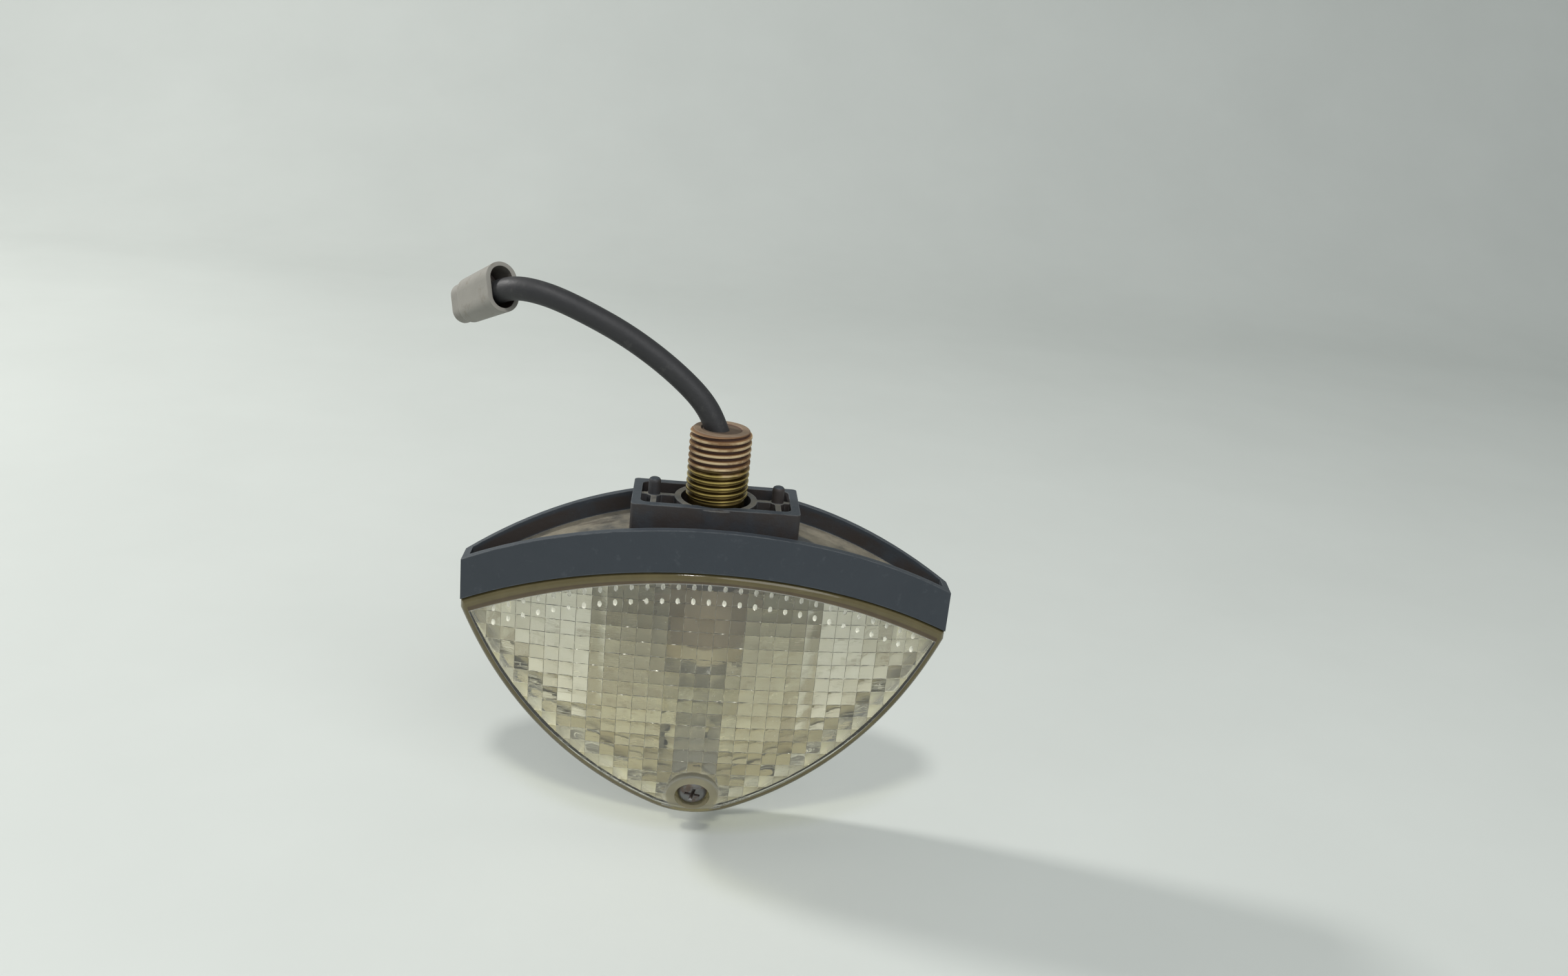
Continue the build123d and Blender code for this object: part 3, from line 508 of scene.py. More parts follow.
def threaded_rows(length, crest_r, root_r, foot_r, end_r, pitch, sides=96, run=1.2):
    """Points of a right-hand thread along +Z from 0, in columns that climb with the helix. It grows out
    of foot_r over a length of run, and a chamfer takes it down to end_r."""
    turns = int(length / pitch) + 2
    columns = []
    for k in range(sides):
        share = k / sides
        angle = 2 * math.pi * share
        column = []
        for turn in range(-1, turns + 1):
            for phase, fall in THREAD_PHASES:
                z = (turn + phase + share) * pitch
                dent = noise.noise(Vector((math.cos(angle) * 4, share * 9, z * 1.7)))
                radius = crest_r - (crest_r - root_r) * fall + THREAD_WEAR * dent * (1 - fall)
                lead = min(max(z / run, 0), 1)
                radius = foot_r + (radius - foot_r) * lead * lead * (3 - 2 * lead)
                radius = min(radius, end_r + max(length - z, 0))
                z = min(max(z, 0.0), length)
                radius = foot_r if z == 0 else end_r if z == length else radius
                column.append((*polar(radius, angle), z))
        columns.append(column)
    return columns


def threaded_mesh(name, columns, below, above, place):
    """A closed threaded piece. below and above are (radius, z) rings that go on from the thread's ends.
    They meet in a bore, or else each ends in a cap."""
    sides, rows, per_turn = len(columns), len(columns[0]), len(THREAD_PHASES)
    verts = [p for column in columns for p in column]
    faces = []
    for k in range(sides):
        for j in range(rows - 1):
            if k < sides - 1:
                low, high = (k + 1) * rows + j, (k + 1) * rows + j + 1
            else:
                low, high = min(j + per_turn, rows - 1), min(j + 1 + per_turn, rows - 1)
            faces.append((k * rows + j, low, high, k * rows + j + 1))
    feet, ends = [k * rows for k in range(sides)], [k * rows + rows - 1 for k in range(sides)]
    for last, rings in ((feet, below), (ends, above)):
        for radius, z in rings:
            ring = range(len(verts), len(verts) + sides)
            verts += [(*polar(radius, 2 * math.pi * k / sides), z) for k in range(sides)]
            faces += band(last, ring)
            last = ring
        if below[-1] != above[-1]:
            faces.append(tuple(last))
    obj = mesh_object(name, [tuple(place(Vector(v))) for v in verts], faces)
    with edited(obj.data) as work:
        bmesh.ops.remove_doubles(work, verts=work.verts, dist=2e-6)
        bmesh.ops.dissolve_degenerate(work, edges=work.edges, dist=WELD)
    sharp_by_angle(obj, 32)
    return obj


def build_stud():
    """The hollow M14 stud: its helical thread, neck and hexagonal flange under the floor."""
    length, end_r = STUD_TOP - THREAD_FOOT, STUD_R - STUD_CHAMFER
    columns = threaded_rows(length, STUD_R, STUD_ROOT_R, STUD_NECK_R, end_r, STUD_PITCH)
    flange = FLANGE_TOP - THREAD_FOOT
    foot = flange - FLANGE_THICK
    across_flats = FLANGE_HEX_R * math.cos(math.pi / 6)
    bore_end = (STUD_BORE_R, length - 0.5)
    below = [(STUD_NECK_R, flange + NECK_FILLET), (STUD_NECK_R + NECK_FILLET, flange),
             (across_flats, flange), (across_flats, foot), (STUD_BORE_R, foot), bore_end]
    above = [(end_r - 0.25, length), (STUD_BORE_R + 0.35, length), (STUD_BORE_R, length - 0.3), bore_end]
    stud = threaded_mesh("stud_threaded", columns, below, above, lambda p: p + Vector((0, 0, THREAD_FOOT)))
    # the flange's corners stand out from its flats
    limit = (STUD_NECK_R + across_flats) / 2 * MM
    for vertex in stud.data.vertices:
        x, y, z = vertex.co
        if math.hypot(x, y) > limit and z < (FLANGE_TOP + 0.1) * MM:
            turn = (math.atan2(y, x) + math.pi / 6) % (math.pi / 3) - math.pi / 6
            grow = 1 / math.cos(math.pi / 6 - abs(turn))
            vertex.co = (x * grow, y * grow, z)
    return stud


def screw_place(depth):
    """Turns +Z into the screw's way in, with 0 at this depth."""
    origin = SCREW_MOUTH + SCREW_IN * depth
    return lambda p: origin + SIDEWAYS * p.x + SCREW_UP * p.y + SCREW_IN * p.z


SCREW_NECK, SCREW_STEP = 1.2, 0.15  # plain length under the head, and its step in


def build_lens_screw():
    """The lens screw: a pan head with a worn cross recess, and a threaded shank."""
    shank, neck_r = SCREW_LENGTH - SCREW_NECK, SCREW_SHANK_R - SCREW_STEP
    columns = threaded_rows(shank, SCREW_SHANK_R, SCREW_CORE_R, neck_r, SCREW_CORE_R - 0.3, SCREW_PITCH,
                            sides=40, run=0.8)
    head = [(neck_r, -SCREW_NECK), (SCREW_HEAD_R - SCREW_STEP, -SCREW_NECK),
            (SCREW_HEAD_R, -SCREW_NECK - SCREW_STEP)]
    middle = -SCREW_NECK - SCREW_HEAD_H + SCREW_HEAD_ROUND
    for k in range(9):
        out, up = polar(SCREW_HEAD_ROUND, math.radians(90 * k / 8))
        head.append((SCREW_HEAD_R - SCREW_HEAD_ROUND + out, middle - up))
    head += [(radius, -SCREW_NECK - SCREW_HEAD_H) for radius in (1.6, 0.4)]
    screw = threaded_mesh("lens_screw_worn", columns, head, [(0.2, shank)],
                          screw_place(POCKET_DEPTH + SCREW_NECK))
    place = screw_place(POCKET_DEPTH - SCREW_HEAD_H)
    for turned in (0, 90):
        arm = bevelled_bar("cross", CROSS_LENGTH, CROSS_WIDTH, CROSS_DEPTH)
        matrix = Matrix.Rotation(math.radians(turned + SCREW_TURN), 4, "Z")
        for vertex in arm.data.vertices:
            vertex.co = place(matrix @ (vertex.co / MM)) * MM
        apply_boolean(screw, arm, "DIFFERENCE")
    sharp_by_angle(screw, 32)
    return screw


def bevelled_bar(name, length, width, depth):
    """A bar for one slot of a cross recess: wide at its mouth, narrow at its foot, from Z -1 to depth."""
    rings = []
    for z, grow in ((-1.0, 0.25), (0.0, 0.12), (0.35, 0.0), (depth * 0.7, -0.08), (depth, -0.3)):
        x, y = length / 2 + grow * 1.6, width / 2 + grow * 0.5
        rings.append([(x, -y, z), (x, y, z), (-x, y, z), (-x, -y, z)])
    obj = mesh_object(name, *tube_of_rings(rings))
    sharp_by_angle(obj, 20)
    return obj


def build_cable():
    """The lead: one smooth spline from the stud's bore to the plug."""
    curve = bpy.data.curves.new("lead", "CURVE")
    curve.dimensions = "3D"
    spline = curve.splines.new("NURBS")
    spline.points.add(len(CABLE_ROUTE) - 1)
    for point, place in zip(spline.points, CABLE_ROUTE):
        point.co = (*(c * MM for c in place), 1)
    spline.order_u = 3
    spline.use_endpoint_u = True
    spline.resolution_u = 12
    curve.bevel_depth = CABLE_R * MM
    curve.bevel_resolution = 9
    curve.use_fill_caps = True
    return add_object("lead", curve)


# ---- materials


def tone(r, g, b):
    """A linear colour from its 0-255 screen values, which are all over 10."""
    return tuple(((c / 255 + 0.055) / 1.055) ** 2.4 for c in (r, g, b)) + (1.0,)


class Look:
    """A material in the making: a Principled shader, and short words for the nodes that feed it."""

    def __init__(self, name, **sockets):
        self.material = bpy.data.materials.new(name)
        self.material.use_nodes = True
        self.tree = self.material.node_tree
        self.shader = self.tree.nodes["Principled BSDF"]
        self.place = self.node("TexCoord", {}, "Object")
        self.set(**sockets)

    def put(self, socket, value):
        if isinstance(value, bpy.types.NodeSocket):
            self.tree.links.new(value, socket)
        else:
            socket.default_value = value

    def set(self, **sockets):
        for name, value in sockets.items():
            self.put(self.shader.inputs[name.replace("_", " ").title().replace("Ior", "IOR")], value)

    def node(self, kind, inputs, out=0, **settings):
        made = self.tree.nodes.new("ShaderNode" + kind)
        for name, value in settings.items():
            setattr(made, name, value)
        for name, value in inputs.items():
            self.put(made.inputs[name], value)
        return made.outputs[out]

    def axis(self, name):
        return self.node("SeparateXYZ", {0: self.place}, name)

    def normal(self, name):
        facing = self.node("NewGeometry", {}, "Normal")
        return self.node("SeparateXYZ", {0: facing}, name)

    def painted(self, name):
        """A mask that is painted on the mesh."""
        return self.node("Attribute", {}, "Fac", attribute_name=name)

    def math(self, operation, a, b=0.0, c=0.0):
        return self.node("Math", {0: a, 1: b, 2: c}, operation=operation)

    def both(self, first, *more):
        for mask in more:
            first = self.math("MULTIPLY", first, mask)
        return first

    def either(self, first, *more):
        for mask in more:
            first = self.math("MAXIMUM", first, mask)
        return first

    def less(self, a, b):
        return self.math("SUBTRACT", a, b)

    def size(self, a):
        return self.math("ABSOLUTE", a)

    def line(self, value, slope, start):
        """start, plus slope times the value."""
        return self.math("MULTIPLY_ADD", value, slope, start)

    def length(self, a, b):
        flat = self.node("CombineXYZ", {0: a, 1: b})
        return self.node("VectorMath", {0: flat}, "Value", operation="LENGTH")

    def between(self, value, low, high):
        """0 at low, 1 at high, eased."""
        return self.node("MapRange", {0: value, 1: low, 2: high}, interpolation_type="SMOOTHSTEP")

    def span(self, value, low, high):
        """0 at low, 1 at high, eased, both in millimetres."""
        return self.between(value, low * MM, high * MM)

    def noise(self, scale, detail=4, roughness=0.6, stretch=None):
        place = self.node("Mapping", {0: self.place, 3: stretch}) if stretch else self.place
        return self.node("TexNoise", {0: place, "Scale": scale, "Detail": detail, "Roughness": roughness})

    def wander(self, value, scale, detail, reach):
        """A length that noise moves to and fro, by this many millimetres from end to end."""
        return self.line(self.less(self.noise(scale, detail), 0.5), reach * MM, value)

    def mix(self, factor, a, b):
        """From a to b, which are sockets or screen values."""
        a, b = (c if isinstance(c, bpy.types.NodeSocket) else tone(*c) for c in (a, b))
        return self.node("Mix", {0: factor, 6: a, 7: b}, 2, data_type="RGBA")

    def mottle(self, scale, dark, light, detail=5, roughness=0.6):
        """Two colours that run into each other."""
        return self.mix(self.noise(scale, detail, roughness), dark, light)

    def lay(self, base, mask, share, colour):
        """A base with this share of a colour over it where the mask is."""
        return self.mix(self.both(mask, share), base, colour)

    def patches(self, scale, low, high, stretch=None):
        """A mask of soft-edged patches."""
        return self.between(self.noise(scale, 5, 0.65, stretch), low, high)

    def edges(self, radius):
        """A mask of the solid's edges within this many millimetres."""
        soft = self.node("Bevel", {"Radius": radius * MM}, samples=4)
        facing = self.node("NewGeometry", {}, "Normal")
        same = self.node("VectorMath", {0: soft, 1: facing}, "Value", operation="DOT_PRODUCT")
        return self.between(self.less(1.0, same), 0.02, 0.25)

    def corners(self, reach, low, high):
        """A mask of crevices within this many millimetres."""
        open_sky = self.node("AmbientOcclusion", {"Distance": reach * MM}, "AO", samples=6)
        return self.between(open_sky, low, high)

    def bump(self, height, distance, soften=None):
        """Relief of this many millimetres, over edges rounded by soften millimetres."""
        inputs = {"Height": height, "Distance": distance * MM, "Strength": 1.0}
        if soften:
            inputs["Normal"] = self.node("Bevel", {"Radius": soften * MM}, samples=4)
        self.set(normal=self.node("Bump", inputs))


# where the housing's dust, tones and painted shade lie: nothing at the first of a pair, all at the second
RIM_SHADE_DEPTH, RECESS_DEPTH = (0.2, 1.2), (FLOOR_DROP, FLOOR_DROP - 1.0)
DUST_DEPTH, DUST_Z, BOSS_DUST_Z = (2.2, 3.2), (-24.0, -21.0), (-0.1, -0.3)
BOSS_X, BOSS_Y = (BOSS_HALF_X + 0.6, BOSS_HALF_X + 0.2), (BOSS_HALF_Y + 2.2, BOSS_HALF_Y + 1.9)
# the edge of the boss's painted shadow on the recess floor
BOSS_SHADOW_SLANT, BOSS_SHADOW_Y, BOSS_SHADOW_WANDER, BOSS_SHADOW_EDGE = 0.55, 16.5, 12.0, (1.4, -1.8)
CHAMBER_DEPTH, CHAMBER_Y, CHAMBER_WALL, WALL_Y = (6.3, 6.6), (4.0, 5.0), (-1.0, -4.0), (-1.0, 0.0)
CHAMBER_MID_Z = -38.0
POST_X, POST_Z, POST_Y = (8.2, 7.8), (-60.0, -60.8), (12.0, 11.5)
POST_SEAM_Z, POST_FOOT_Z = (-70.5, -71.5), (-76.8, -76.2)
FACES_LENS = (-0.3, -0.6)  # the normal's y


def housing_look():
    look = Look("housing_worn_plastic", specular_ior_level=0.35)
    x, y, z = (look.axis(name) for name in "XYZ")
    ny, nz = look.normal("Y"), look.normal("Z")
    # how far below the arched rim a point lies
    share = look.math("DIVIDE", look.size(x), HALF_WIDTH * MM)
    drop = look.both(look.math("POWER", share, 2.0), ARCH_DROP * MM)
    depth = look.less(look.less(RIM_MID_Z * MM, drop), z)
    up = look.between(nz, 0.45, 0.8)
    base = look.mottle(60, (46, 52, 58), (56, 61, 67))
    base = look.lay(base, look.patches(420, 0.58, 0.72), 0.5, (68, 73, 78))
    # brown grime and painted shade on the walls inside the rim and round the boss that don't face up
    inward = look.span(look.both(y, ny, -1.0), 0.0, 4.0)
    shallow = look.span(depth, *RIM_SHADE_DEPTH)
    near_boss = look.both(look.span(look.size(x), *BOSS_X), look.span(look.size(y), *BOSS_Y))
    above = look.span(depth, *RECESS_DEPTH)
    grime_and_shade = look.both(look.either(look.both(inward, above), near_boss), look.either(shallow, near_boss),
                      look.less(1.0, up), look.between(look.noise(110, 5), 0.2, 0.6))
    base = look.lay(base, grime_and_shade, 0.8, (52, 44, 39))
    # dust that settled in the recess and in the boss
    in_boss = look.both(near_boss, look.span(z, *BOSS_DUST_Z))
    settled = look.both(up, look.either(look.span(depth, *DUST_DEPTH), in_boss), look.span(z, *DUST_Z))
    # painted shadow of the boss: the floor on its right keeps less dust, so shows darker bare plastic, up
    # to a slanting line
    boss_shadow_line = look.line(x, BOSS_SHADOW_SLANT, look.less(y, BOSS_SHADOW_Y * MM))
    boss_shadow_line = look.wander(boss_shadow_line, 140, 5, BOSS_SHADOW_WANDER)
    boss_shadow = look.both(look.span(boss_shadow_line, *BOSS_SHADOW_EDGE), look.span(x, BOSS_HALF_X, BOSS_HALF_X + 0.4))
    settled = look.both(settled, look.line(boss_shadow, -0.75, 1.0))
    dust = look.both(settled, look.between(look.noise(75, 6, 0.7), 0.2, 0.62))
    dusty = look.mottle(240, (82, 76, 64), (152, 145, 126), 6, 0.7)
    base = look.lay(base, dust, look.line(near_boss, -0.35, 0.85), dusty)
    streaks = look.both(settled, look.patches(130, 0.55, 0.7, stretch=(0.35, 2.2, 1)))
    base = look.lay(base, streaks, 0.6, (52, 45, 40))
    # pale worn edges
    worn = look.both(look.edges(0.45), look.between(look.noise(300), 0.3, 0.6))
    base = look.lay(base, worn, 0.55, (120, 124, 126))
    scuffs = look.patches(260, 0.68, 0.78, stretch=(0.25, 1, 1.6))
    base = look.lay(base, scuffs, 0.2, (96, 100, 103))
    # the chamber behind the lens: dusty walls and the lens screw's post
    facing_lens = look.both(look.between(ny, *FACES_LENS), look.span(y, *CHAMBER_Y))
    outward = look.line(look.normal("X"), x, look.both(nz, look.math("ADD", z, -CHAMBER_MID_Z * MM)))
    inward_wall = look.both(look.span(outward, *CHAMBER_WALL), look.span(y, *WALL_Y))
    post = look.both(look.span(look.size(x), *POST_X), look.span(z, *POST_Z))
    post = look.both(post, look.either(look.span(y, *POST_Y), look.between(ny, *FACES_LENS)))
    foot = look.both(post, look.span(z, *POST_SEAM_Z), look.span(z, *POST_FOOT_Z))
    post = look.both(post, look.span(z, *POST_SEAM_Z[::-1]))
    deep = look.span(depth, *CHAMBER_DEPTH)
    chamber = look.both(look.either(facing_lens, inward_wall, foot), deep)
    base = look.lay(base, chamber, 0.95, look.mottle(90, (154, 147, 119), (190, 184, 153)))
    base = look.lay(base, look.both(post, deep), 0.9, look.mottle(90, (92, 92, 88), (124, 122, 116)))
    rough = look.either(look.line(look.noise(150), 0.25, 0.42), look.both(dust, 0.95))
    look.set(base_color=base, roughness=rough)
    grain = look.math("ADD", look.both(look.noise(900, 3), 0.35), look.both(dust, look.noise(500, 5)))
    look.bump(grain, 0.18, soften=0.25)
    return look.material


CLEAR_TINT = (0.93, 0.93, 0.9, 1)


def see_through(look):
    """Lets light reach what is behind a clear piece."""
    nodes, links = look.tree.nodes, look.tree.links
    clear = look.node("BsdfTransparent", {"Color": CLEAR_TINT})
    shadow = look.node("LightPath", {}, "Is Shadow Ray")
    mixed = look.node("MixShader", {0: shadow, 1: look.shader.outputs[0], 2: clear})
    links.new(mixed, nodes["Material Output"].inputs["Surface"])


STRIP_RISE, STRIP_FADE = 0.2, 0.4  # the yellow strip starts this far over the optics
# the strip's browner lower part is painted shade of the housing seen through it
STRIP_SHADE_RISE = (1.6, 1.1)  # its lower part is browner
COLLAR_OUT, COLLAR_IN = (7.2, 5.8), (3.4, 3.8)  # the collar round the screw, from its axis


def lens_look():
    look = Look("lens_yellowed_acrylic", ior=1.49, specular_ior_level=0.5)
    x, z = look.axis("X"), look.axis("Z")
    border, cell, pip_glint, frosted_light = (look.painted(name) for name in ("border", "cell", "pip_glint", "frosted_light"))
    haze = look.noise(90, 5, 0.7)
    specks = look.patches(700, 0.66, 0.74)
    base = look.mix(haze, (247, 247, 241), (253, 253, 249))
    base = look.lay(base, specks, 0.35, (150, 140, 105))
    base = look.lay(base, look.corners(3.0, 0.6, 0.2), 0.25, (150, 138, 95))
    # painted shade on cells at random
    base = look.lay(base, cell, 0.7, (168, 156, 122))
    # painted glints: the pips are whitish and cloudy
    base = look.mix(pip_glint, base, (252, 252, 248))
    # painted light: pale, cloudy cells along the edge
    base = look.mix(frosted_light, base, (246, 242, 212))
    # the outer wall, the rounded edge and the strip over the optics are far yellower than the face; their
    # dark olive is partly painted shade of the housing seen through them, and the strip's browner lower
    # part is painted shade
    arch = look.math("POWER", look.both(x, 1 / MM), 2.0)
    over = look.less(z, look.line(arch, -OPTIC_TOP_FALL * MM, (OPTIC_TOP_MID + STRIP_RISE) * MM))
    strip = look.span(over, 0.0, STRIP_FADE)
    rim = look.either(border, strip)
    olive = look.mottle(160, (88, 79, 50), (116, 106, 72))
    brown = look.mottle(160, (70, 58, 42), (96, 82, 60))
    shaded_low_strip = look.both(strip, look.less(1.0, border), look.span(over, *STRIP_SHADE_RISE))
    base = look.mix(rim, base, look.mix(shaded_low_strip, olive, brown))
    # the solid collar round the screw's pocket is yellower too
    rise = look.line(z, SCREW_IN.y, -SCREW_Z * SCREW_IN.y * MM)
    rise = look.line(look.less(look.axis("Y"), SCREW_Y * MM), -SCREW_IN.z, rise)
    from_screw = look.length(x, rise)
    collar = look.both(look.span(from_screw, *COLLAR_OUT), look.span(from_screw, *COLLAR_IN))
    base = look.lay(base, collar, 0.8, look.mottle(160, (128, 118, 78), (164, 154, 110)))
    # the painted light, the pips' painted glints and the collar let less light through
    cloudy = look.either(look.both(frosted_light, 0.8), look.both(collar, 0.55))
    cloudy = look.either(look.both(pip_glint, 0.85), cloudy)
    clear = look.line(look.either(rim, cloudy), -0.72, 0.97)
    rough = look.either(look.line(haze, 0.05, 0.01), look.both(specks, 0.35), look.both(rim, 0.1))
    look.set(base_color=base, roughness=rough, transmission_weight=clear)
    see_through(look)
    deep = look.node("VolumeAbsorption", {"Color": (0.86, 0.84, 0.66, 1), "Density": 45.0})
    look.tree.links.new(deep, look.tree.nodes["Material Output"].inputs["Volume"])
    scratches = look.patches(55, 0.5, 0.56, stretch=(1, 1, 9))
    look.bump(look.both(look.noise(350), scratches), 0.02)
    return look.material


RUST_Z, RUST_WANDER = (6.2, 8.5), 7.0  # the stud is rusty above this ragged height


def stud_look():
    look = Look("stud_zinc_and_rust")
    z = look.axis("Z")
    radius = look.length(look.axis("X"), look.axis("Y"))
    crest = look.span(radius, STUD_R - 0.35, STUD_R - 0.05)
    zinc = look.mottle(220, (150, 126, 62), (206, 186, 118))
    zinc = look.lay(zinc, look.less(1.0, crest), 0.8, (78, 62, 34))
    rust = look.mottle(260, (80, 60, 42), (148, 110, 68), 6, 0.7)
    rust = look.lay(rust, crest, look.between(look.noise(180), 0.35, 0.6), (186, 166, 130))
    rust = look.mix(look.less(1.0, look.span(radius, STUD_ROOT_R, STUD_R - 0.3)), rust, (70, 42, 28))
    rusty = look.span(look.wander(z, 160, 4, RUST_WANDER), *RUST_Z)
    end = look.span(z, STUD_TOP - 0.25, STUD_TOP - 0.05)
    base = look.mix(rusty, zinc, rust)
    base = look.lay(base, end, 0.85, look.mottle(300, (92, 76, 60), (150, 130, 106)))
    metal = look.less(0.95, look.both(look.either(rusty, end), 0.88))
    rough = look.line(rusty, 0.35, look.line(look.noise(300), 0.3, 0.18))
    look.set(base_color=base, metallic=metal, roughness=rough)
    look.bump(look.both(look.noise(700, 5), look.line(rusty, 0.9, 0.12)), 0.12)
    return look.material


def cable_look():
    look = Look("lead_scuffed_sheath", specular_ior_level=0.4)
    base = look.mottle(130, (34, 34, 36), (46, 46, 47))
    base = look.lay(base, look.patches(300, 0.58, 0.72), 0.4, (74, 73, 70))
    base = look.lay(base, look.patches(90, 0.6, 0.75), 0.35, (66, 58, 48))
    look.set(base_color=base, roughness=look.line(look.noise(200), 0.25, 0.42))
    look.bump(look.math("ADD", look.noise(500), look.noise(60, 3)), 0.12)
    return look.material


def connector_look():
    look = Look("connector_dirty_nylon", specular_ior_level=0.35)
    base = look.mottle(120, (122, 120, 114), (142, 139, 131))
    base = look.lay(base, look.patches(260, 0.55, 0.7), 0.5, (100, 88, 72))
    # dark red-brown dirt in the crevices and the mouth, partly painted shade
    base = look.lay(base, look.corners(2.5, 0.8, 0.35), 0.9, (52, 30, 26))
    # painted highlight along the edges
    base = look.lay(base, look.edges(0.35), 0.4, (164, 160, 150))
    look.set(base_color=base, roughness=look.line(look.noise(200), 0.2, 0.45))
    look.bump(look.noise(600), 0.08, soften=0.3)
    return look.material


def screw_look():
    look = Look("screw_corroded_zinc")
    base = look.mottle(500, (90, 90, 91), (132, 132, 131))
    rust = look.either(look.patches(420, 0.5, 0.64), look.corners(1.2, 0.7, 0.3))
    base = look.lay(base, rust, 0.85, look.mottle(900, (62, 50, 42), (100, 80, 64), 4))
    metal = look.less(0.85, look.both(rust, 0.7))
    look.set(base_color=base, metallic=metal, roughness=look.line(rust, 0.3, 0.38))
    look.bump(look.noise(1400, 5), 0.06)
    return look.material


def plain_look(name, dark, light, patina, metal=0.0, rough=0.5, scale=200, relief=0.05):
    """A worn surface in two tones with patches of a third."""
    look = Look(name, metallic=metal)
    base = look.mottle(scale, dark, light)
    base = look.lay(base, look.patches(scale * 1.3, 0.6, 0.72), 0.7, patina)
    look.set(base_color=base, roughness=look.line(look.noise(scale * 0.8), 0.24, rough - 0.12))
    look.bump(look.noise(scale * 3), relief, soften=0.12)
    return look.material


WING_X, WING_WANDER = (25.5, 27.5), 6.0  # the reflector's bright wings start at this ragged line
# painted shade on the reflector: darker under the housing's top wall, and a browner painted shadow of the
# bulb
TOP_SHADE_Z = (-46.0, -28.0)  # it is darker up here
BULB_SHADOW_X, BULB_SHADOW_Z = (13.0, 7.0), (-46.0, -38.0)  # and browner behind the bulb


def reflector_look():
    look = Look("reflector_bright_sheet", metallic=0.35)
    stain = look.noise(70, 6, 0.7)
    wing = look.mix(look.between(stain, 0.3, 0.7), (254, 254, 250), (234, 231, 217))
    middle = look.between(look.noise(45, 5), 0.35, 0.65)
    middle = look.mix(middle, (214, 210, 186), (178, 170, 146))
    # painted shade under the housing's top wall
    middle = look.lay(middle, look.span(look.axis("Z"), *TOP_SHADE_Z), 0.85, (112, 107, 86))
    off_middle = look.wander(look.size(look.axis("X")), 60, 3, WING_WANDER)
    base = look.mix(look.span(off_middle, *WING_X), middle, wing)
    # painted shadow of the bulb, in brown
    bulb_shadow = look.both(look.span(off_middle, *BULB_SHADOW_X), look.span(look.axis("Z"), *BULB_SHADOW_Z))
    base = look.lay(base, bulb_shadow, 0.6, (96, 80, 60))
    base = look.lay(base, look.patches(420, 0.52, 0.66), 0.5, (150, 138, 112))
    look.set(base_color=base, roughness=look.line(look.between(stain, 0.35, 0.75), 0.2, 0.16))
    look.bump(look.noise(45, 2), 0.35)
    return look.material


def glass_look():
    look = Look("bulb_clear_glass", transmission_weight=1.0, ior=1.5)
    film = look.noise(120)
    look.set(base_color=look.mix(film, (250, 250, 246), (238, 236, 226)),
             roughness=look.line(film, 0.05, 0.0))
    see_through(look)
    return look.material


LOOKS = {
    "housing_plastic": housing_look(),
    "lens_acrylic": lens_look(),
    "gasket_rubber": plain_look("gasket_black_rubber", (34, 33, 32), (48, 46, 43), (82, 74, 60),
                                rough=0.75),
    "screw_steel": screw_look(),
    "reflector_aluminium": reflector_look(),
    "plated_steel": stud_look(),
    "spring_steel": plain_look("washer_spring_steel", (96, 90, 84), (130, 124, 116), (104, 70, 48),
                               0.9, 0.45),
    "potting": plain_look("potting_dusty_sealant", (58, 46, 38), (96, 80, 62), (132, 112, 88),
                          rough=0.85, relief=0.25),
    "cable_sheath": cable_look(),
    "connector_plastic": connector_look(),
    "terminal_brass": plain_look("terminal_bare_brass", (150, 118, 62), (196, 162, 92), (96, 74, 44),
                                 0.95, 0.4),
    "core_insulation": plain_look("core_dark_red", (88, 34, 30), (112, 46, 40), (60, 40, 34), rough=0.5),
    "holder_steel": plain_look("holder_dull_steel", (112, 98, 78), (150, 136, 112), (92, 62, 42),
                               0.8, 0.45, 120),
    "rivet_aluminium": plain_look("rivet_dull_aluminium", (160, 158, 152), (196, 194, 188),
                                  (112, 104, 92), 0.9, 0.4),
    "insulator_board": plain_look("board_brown_laminate", (104, 70, 44), (132, 92, 60), (80, 56, 38),
                                  rough=0.6),
    "cap_brass": plain_look("cap_nickel_brass", (168, 156, 128), (206, 194, 164), (120, 100, 70),
                            0.95, 0.35, 150),
    "cap_insulator": plain_look("cap_black_glass", (30, 28, 34), (44, 42, 50), (60, 58, 62), rough=0.2),
    "solder": plain_look("contact_solder", (150, 150, 148), (190, 190, 186), (110, 106, 100), 0.95, 0.4),
    "bulb_glass": glass_look(),
    "support_wire": plain_look("support_nickel_wire", (140, 138, 134), (180, 178, 172), (96, 90, 82),
                               0.95, 0.35),
    "tungsten": plain_look("filament_tungsten", (70, 68, 68), (104, 102, 100), (60, 58, 58),
                           0.9, 0.4, 800),
    "live_wire_insulation": plain_look("wire_faded_red", (120, 44, 36), (146, 62, 50), (90, 60, 48),
                                       rough=0.5),
    "earth_wire_insulation": plain_look("wire_black", (38, 38, 40), (54, 54, 56), (80, 72, 62),
                                        rough=0.5),
}


def wear(obj, slot):
    obj.data.materials.clear()
    obj.data.materials.append(LOOKS[slot])


for part in frame["record"]["subparts"]:
    wear(nodes[part["node"]], part["material_slot"])

# ---- the pieces that replace CAD nodes

lens = build_lens()
wear(lens, "lens_acrylic")
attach(lens, "lens")
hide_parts("lens")

stud = build_stud()
wear(stud, "plated_steel")
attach(stud, "lamp_body")
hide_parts("threaded_stud")

lens_screw = build_lens_screw()
wear(lens_screw, "screw_steel")
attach(lens_screw, "lens_screw")
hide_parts("lens_screw")

lead = build_cable()
wear(lead, "cable_sheath")
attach(lead, "lamp_body")
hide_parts("cable")

# ---- floor, light and camera

FLOOR_FRONT, FLOOR_BACK, COVE_R, WALL_TOP = -2.4, 0.7, 0.4, 2.6  # metres
FLOOR_HALF_WIDTH = 2.6


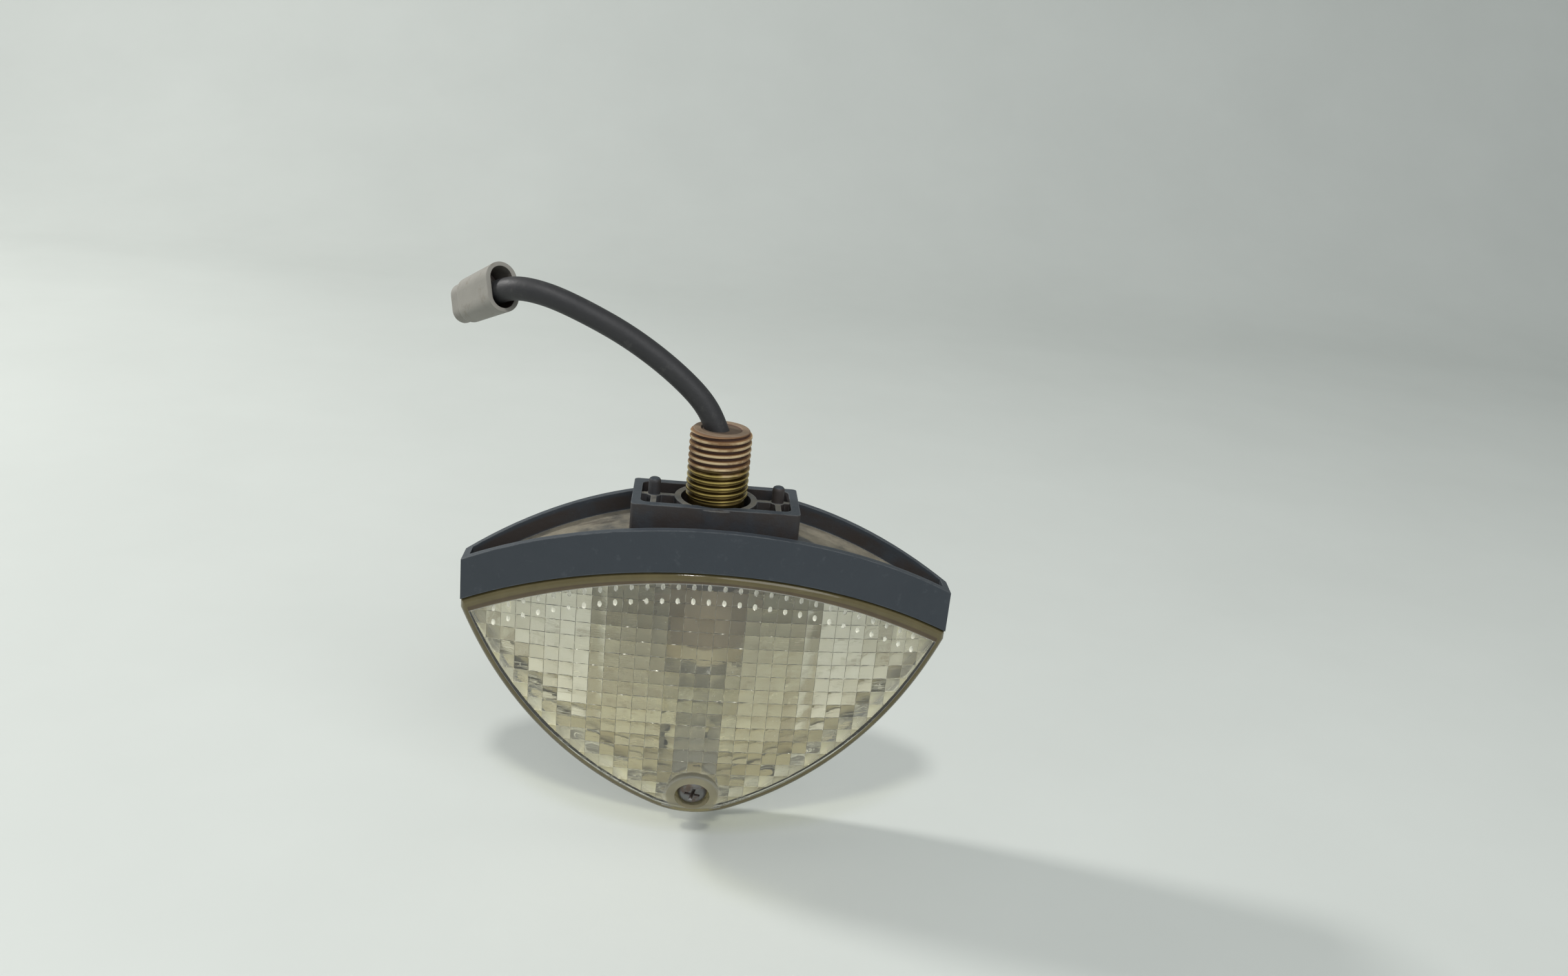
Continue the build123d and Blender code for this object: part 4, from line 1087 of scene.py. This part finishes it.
def build_backdrop():
    """A pale floor that curves up into a wall well behind the lamp."""
    profile = [(FLOOR_FRONT, 0.0), (FLOOR_BACK, 0.0)]
    for degrees in range(6, 91, 6):
        drop, back = polar(COVE_R, math.radians(degrees))
        profile.append((FLOOR_BACK + back, COVE_R - drop))
    profile += [(FLOOR_BACK + COVE_R, WALL_TOP)]
    across = [FLOOR_HALF_WIDTH * k / 2 for k in range(-2, 3)]
    verts = [(x / MM, y / MM, LENS_BOTTOM_Z - FLOOR_GAP + z / MM) for y, z in profile for x in across]
    count = len(across)
    faces = [(r * count + c, r * count + c + 1, (r + 1) * count + c + 1, (r + 1) * count + c)
             for r in range(len(profile) - 1) for c in range(count - 1)]
    look = Look("floor_pale_paint", specular_ior_level=0.3, roughness=0.55)
    look.set(base_color=look.mottle(9, (186, 190, 186), (196, 200, 196)))
    obj = mesh_object("backdrop", verts, faces)
    obj.data.materials.append(look.material)
    return obj


build_backdrop()

LAMP_MIDDLE = Vector((0, 0, -0.04))


def area_light(name, place, size, watts, colour):
    """A round light that points at the lamp."""
    lamp = bpy.data.lights.new(name, "AREA")
    lamp.shape = "DISK"
    lamp.size, lamp.energy, lamp.color = size, watts, colour
    obj = add_object(name, lamp)
    obj.location = place
    obj.rotation_euler = (LAMP_MIDDLE - Vector(place)).to_track_quat("-Z", "Y").to_euler()


area_light("key", (-1.0, 0.34, 0.66), 0.16, 11.5, (1.0, 0.985, 0.96))
area_light("front", (-0.1, -0.6, 1.05), 0.14, 6.5, (1.0, 0.99, 0.97))
area_light("soft", (0.5, -0.9, 0.7), 0.9, 5.0, (0.96, 0.98, 1.0))
world = bpy.data.worlds.new("studio")
world.use_nodes = True
sky = world.node_tree.nodes["Background"].inputs
sky["Color"].default_value, sky["Strength"].default_value = (0.86, 0.9, 0.92, 1), 0.48
bpy.context.scene.world = world
bpy.context.scene.view_settings.view_transform = "Standard"

CAMERA_PLACE = Vector((-8.46, -274.38, 96.80)) * MM
YAW, PITCH, ROLL = (math.radians(a) for a in (4.923, -18.773, 5.902))
forward = Vector((math.sin(YAW) * math.cos(PITCH), math.cos(YAW) * math.cos(PITCH), math.sin(PITCH)))
level = Vector((math.cos(YAW), -math.sin(YAW), 0))
overhead = level.cross(forward)
right = level * math.cos(ROLL) + overhead * math.sin(ROLL)
top = overhead * math.cos(ROLL) - level * math.sin(ROLL)
camera_data = bpy.data.cameras.new("camera")
camera_data.sensor_width, camera_data.sensor_fit, camera_data.lens = 36.0, "HORIZONTAL", 29.43
camera_data.clip_start, camera_data.clip_end = 0.01, 20
camera = add_object("camera", camera_data)
camera.matrix_world = Matrix((right, top, -forward)).transposed().to_4x4()
camera.location = CAMERA_PLACE
bpy.context.scene.camera = camera

bpy.context.view_layer.update()
